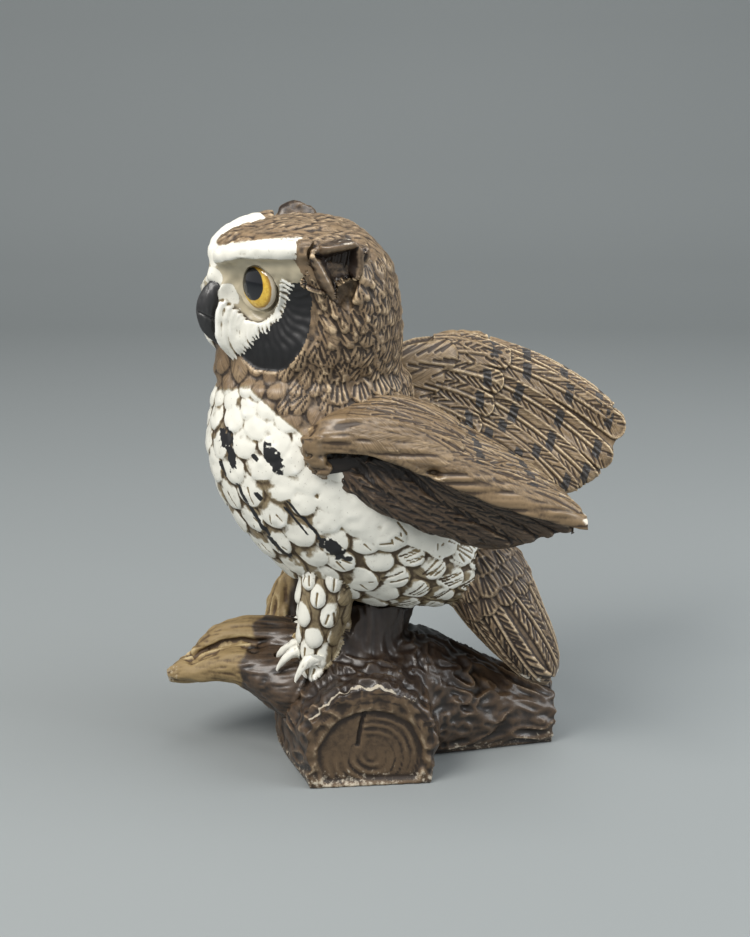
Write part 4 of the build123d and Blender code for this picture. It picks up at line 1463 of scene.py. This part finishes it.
def make_log():
    """The log: furrowed bark, a sawn end with rings and a crack, worn lower edges."""
    lump = lump_of("log_base")
    stop_up(lump, (-15.0, -6.0, 6.5), 7.0, 5.0)
    clay = Clay("log_carved", lump, 0.62)
    clay.soften(5)
    points = clay.points
    x, y, z = points.T
    normals = clay.normals()
    # how much each place belongs to the stub (along X), the rear limb (along Y) and the stump (upright)
    stub = ease(np.abs(x + 4.0), 14.0, 24.0) * ease(-z, -40.0, -28.0)
    limb = ease(y, 16.0, 28.0) * (1.0 - stub)
    stump = np.clip(1.0 - stub - limb, 0.0, 1.0)

    def furrows(size, seed):
        grain = lumps(bent, size, seed) + 0.5 * lumps(bent, np.asarray(size) * 0.5, seed + 1)
        return 1.0 - 2.0 * np.abs(grain) ** 0.8

    bent = points + 2.0 * np.stack([lumps(points, 12.0, s) for s in (1, 2, 3)], axis=1)
    bark = stub * furrows((26.0, 4.6, 4.6), 11) + limb * furrows((4.6, 26.0, 4.6), 13)
    bark += stump * furrows((4.4, 4.4, 24.0), 15)
    height = 1.15 * bark + 0.6 * lumps(points, 8.0, 21) + 0.1 * lumps(points, 1.7, 22)
    # the sawn face
    face = ease(x, 35.0, 36.5) * ease(normals[:, 0], 0.5, 0.85)
    pith_y, pith_z = -1.0, 11.0
    far = np.hypot((y - pith_y) * 0.98, (z - pith_z) * (0.95 + 0.1 * (z > pith_z)))
    far = far + 0.9 * lumps(points, 9.0, 31) + 0.25 * lumps(points, 2.5, 32)
    rim = ease(far, 17.6, 19.2)
    rings = np.clip(np.sin(far * 2.0 * math.pi / RING_GAP), -0.2, 1.0)
    rings = rings * ease(lumps(points, 8.0, 35), -0.5, 0.3)
    cleft = (y + 5.2 - 0.18 * (z - 20.0) - 0.6 * lumps(points, 4.0, 33)) / 0.55
    crack = np.exp(-cleft ** 2) * (z > 15.0) * (far < 18.5)
    disc = -1.4 * (1.0 - rim) + 0.32 * rings * (1.0 - rim) - 1.3 * crack + 0.6 * rim * bark
    height = height * (1.0 - face) + disc * face
    # the bark lips over the sawn end's edge, and a scar ring behind it
    height += 1.1 * np.exp(-((x - 34.5) / 1.6) ** 2) * ease(z, 8.0, 20.0) * (1.0 - face)
    scar = (x - 27.0 - 1.5 * lumps(points, 8.0, 34)) / 1.5
    height -= 1.2 * np.exp(-scar ** 2) * ease(z, 14.0, 24.0) * (1.0 - face)
    underside = ease(-z, -2.2, -0.6)
    height = height * (1.0 - underside)
    clay.push((height - 0.7) * (1.0 - underside))
    clay.points[:, 2] = np.maximum(clay.points[:, 2], 0.0)
    clay.marks["white"] = face * 2.0 - 1.0
    # the bark is marked darker towards the top of the log, away from the sawn face
    clay.marks["black"] = np.clip((z - 30.0 + 8.0 * lumps(points, 9.0, 36)) / 6.0, -1.0, 1.0) * (1.0 - face)
    uneven = ease(lumps(points, 5.0, 37), -0.5, 0.6)
    clay.deep = face * ease(np.sin(far * 2.0 * math.pi / RING_GAP + math.pi), 0.6, 1.0) * 0.8 * uneven
    clay.deep = np.maximum(clay.deep, 0.9 * face * crack)
    clay.note_relief(height, reach=14, full=1.0)
    tan = np.minimum((-27.0 - y) / 3.0, (z - 37.0) / 4.0)
    clay.marks["tan"] = np.clip(np.minimum(tan, -normals[:, 1] * 2.0 - 0.2), -1.0, 1.0)
    low = ease(-z, -14.0, -1.0) * 0.68
    lip = np.exp(-((x - 37.2) / 0.8) ** 2) * ease(far, 16.8, 18.8) * ease(z, 20.0, 27.0)
    worn = low + 1.2 * lip * (1.0 - 0.8 * face) + 0.3 * np.clip(clay.marks["relief"], 0, 1) - 0.85
    clay.marks["worn"] = np.clip(worn, -1.0, 1.0)
    clay.finish(BARK, "log", ["log_base"])


def make_branch():
    """The torn branch: two splinters with a groove between them."""
    clay = Clay("branch_carved", lump_of("torn_branch"), 0.42)
    clay.soften(5)
    clay.tuck("log_base", depth=2.0)
    grain = lumps(clay.points, (2.4, 14.0, 2.4), 41) + 0.5 * lumps(clay.points, (1.2, 8.0, 1.2), 42)
    _, y, z = clay.points.T
    seam = np.interp(y, (-68.0, -57.0, -50.0, -41.0), (34.0, 38.6, 40.1, 40.1))
    seam = seam + 0.8 * lumps(clay.points, 4.0, 45)
    seam = np.exp(-((z - seam) / 0.9) ** 2) * ease(-y, 38.0, 44.0) * ease(-y, -72.0, -64.0)
    seam *= clay.normals()[:, 0] > 0.0
    height = 0.5 * grain + 0.35 * lumps(clay.points, 5.0, 43) - 1.8 * seam
    clay.push(height - 0.3)
    clay.note_relief(height, full=0.5)
    blotch = (-47.0 - y + 0.5 * (z - 34.0) + 7.0 * lumps(clay.points, 8.0, 44)) / 4.0
    clay.marks["tan"] = np.clip(blotch, -1.0, 1.0)
    clay.marks["worn"] = ease(-y, 70.0, 76.0) * 0.5 - 0.5
    clay.finish(BARK, "branch", ["torn_branch"])


# ---------------------------------------------------------------- the owl

GREY_BROWN, UMBER, SAND = (0.215, 0.142, 0.078, 1), (0.028, 0.016, 0.008, 1), (0.56, 0.42, 0.26, 1)
TUFT_PAINT = feather_paint("tuft_paint", (0.15, 0.10, 0.06, 1), (0.018, 0.010, 0.006, 1), SAND,
                           wash_level=0.15, brush_level=0.25, gloss=(0.4, 0.3))
# its bare colour, for worn places, also paints the eye sockets: a cream darkened as painted shade
BODY_PAINT = feather_paint("body_paint", GREY_BROWN, UMBER, SAND, wash_level=-0.02, brush_level=0.16,
                           white_wash=-0.15, bare=(0.50, 0.44, 0.31, 1))
WING_PAINT = feather_paint("wing_paint", (0.245, 0.163, 0.086, 1), (0.050, 0.029, 0.014, 1),
                           (0.60, 0.46, 0.28, 1), wash_level=-0.02, brush_level=0.2)
NEAR_WING_PAINT = feather_paint("near_wing_paint", (0.185, 0.122, 0.063, 1), (0.040, 0.023, 0.011, 1),
                                (0.47, 0.35, 0.205, 1), wash_level=0.0, brush_level=0.24)
LINING_PAINT = feather_paint("lining_paint", (0.075, 0.046, 0.026, 1), (0.012, 0.007, 0.004, 1),
                             (0.24, 0.17, 0.105, 1), wash_level=0.0, brush_level=0.35)
TAIL_PAINT = feather_paint("tail_paint", (0.150, 0.098, 0.056, 1), (0.026, 0.015, 0.009, 1),
                           (0.46, 0.35, 0.22, 1), wash_level=0.0, brush_level=0.2)
BARK = bark_paint()

make_stage()
make_body()
make_beak()
make_tail()
make_right_wing()
make_left_wing()
make_lining()
make_log()
make_branch()
for owl_side in (LEFT, RIGHT):
    make_eye(owl_side)
    make_ear_tuft(owl_side)
    make_leg(owl_side)
    make_toes(owl_side)
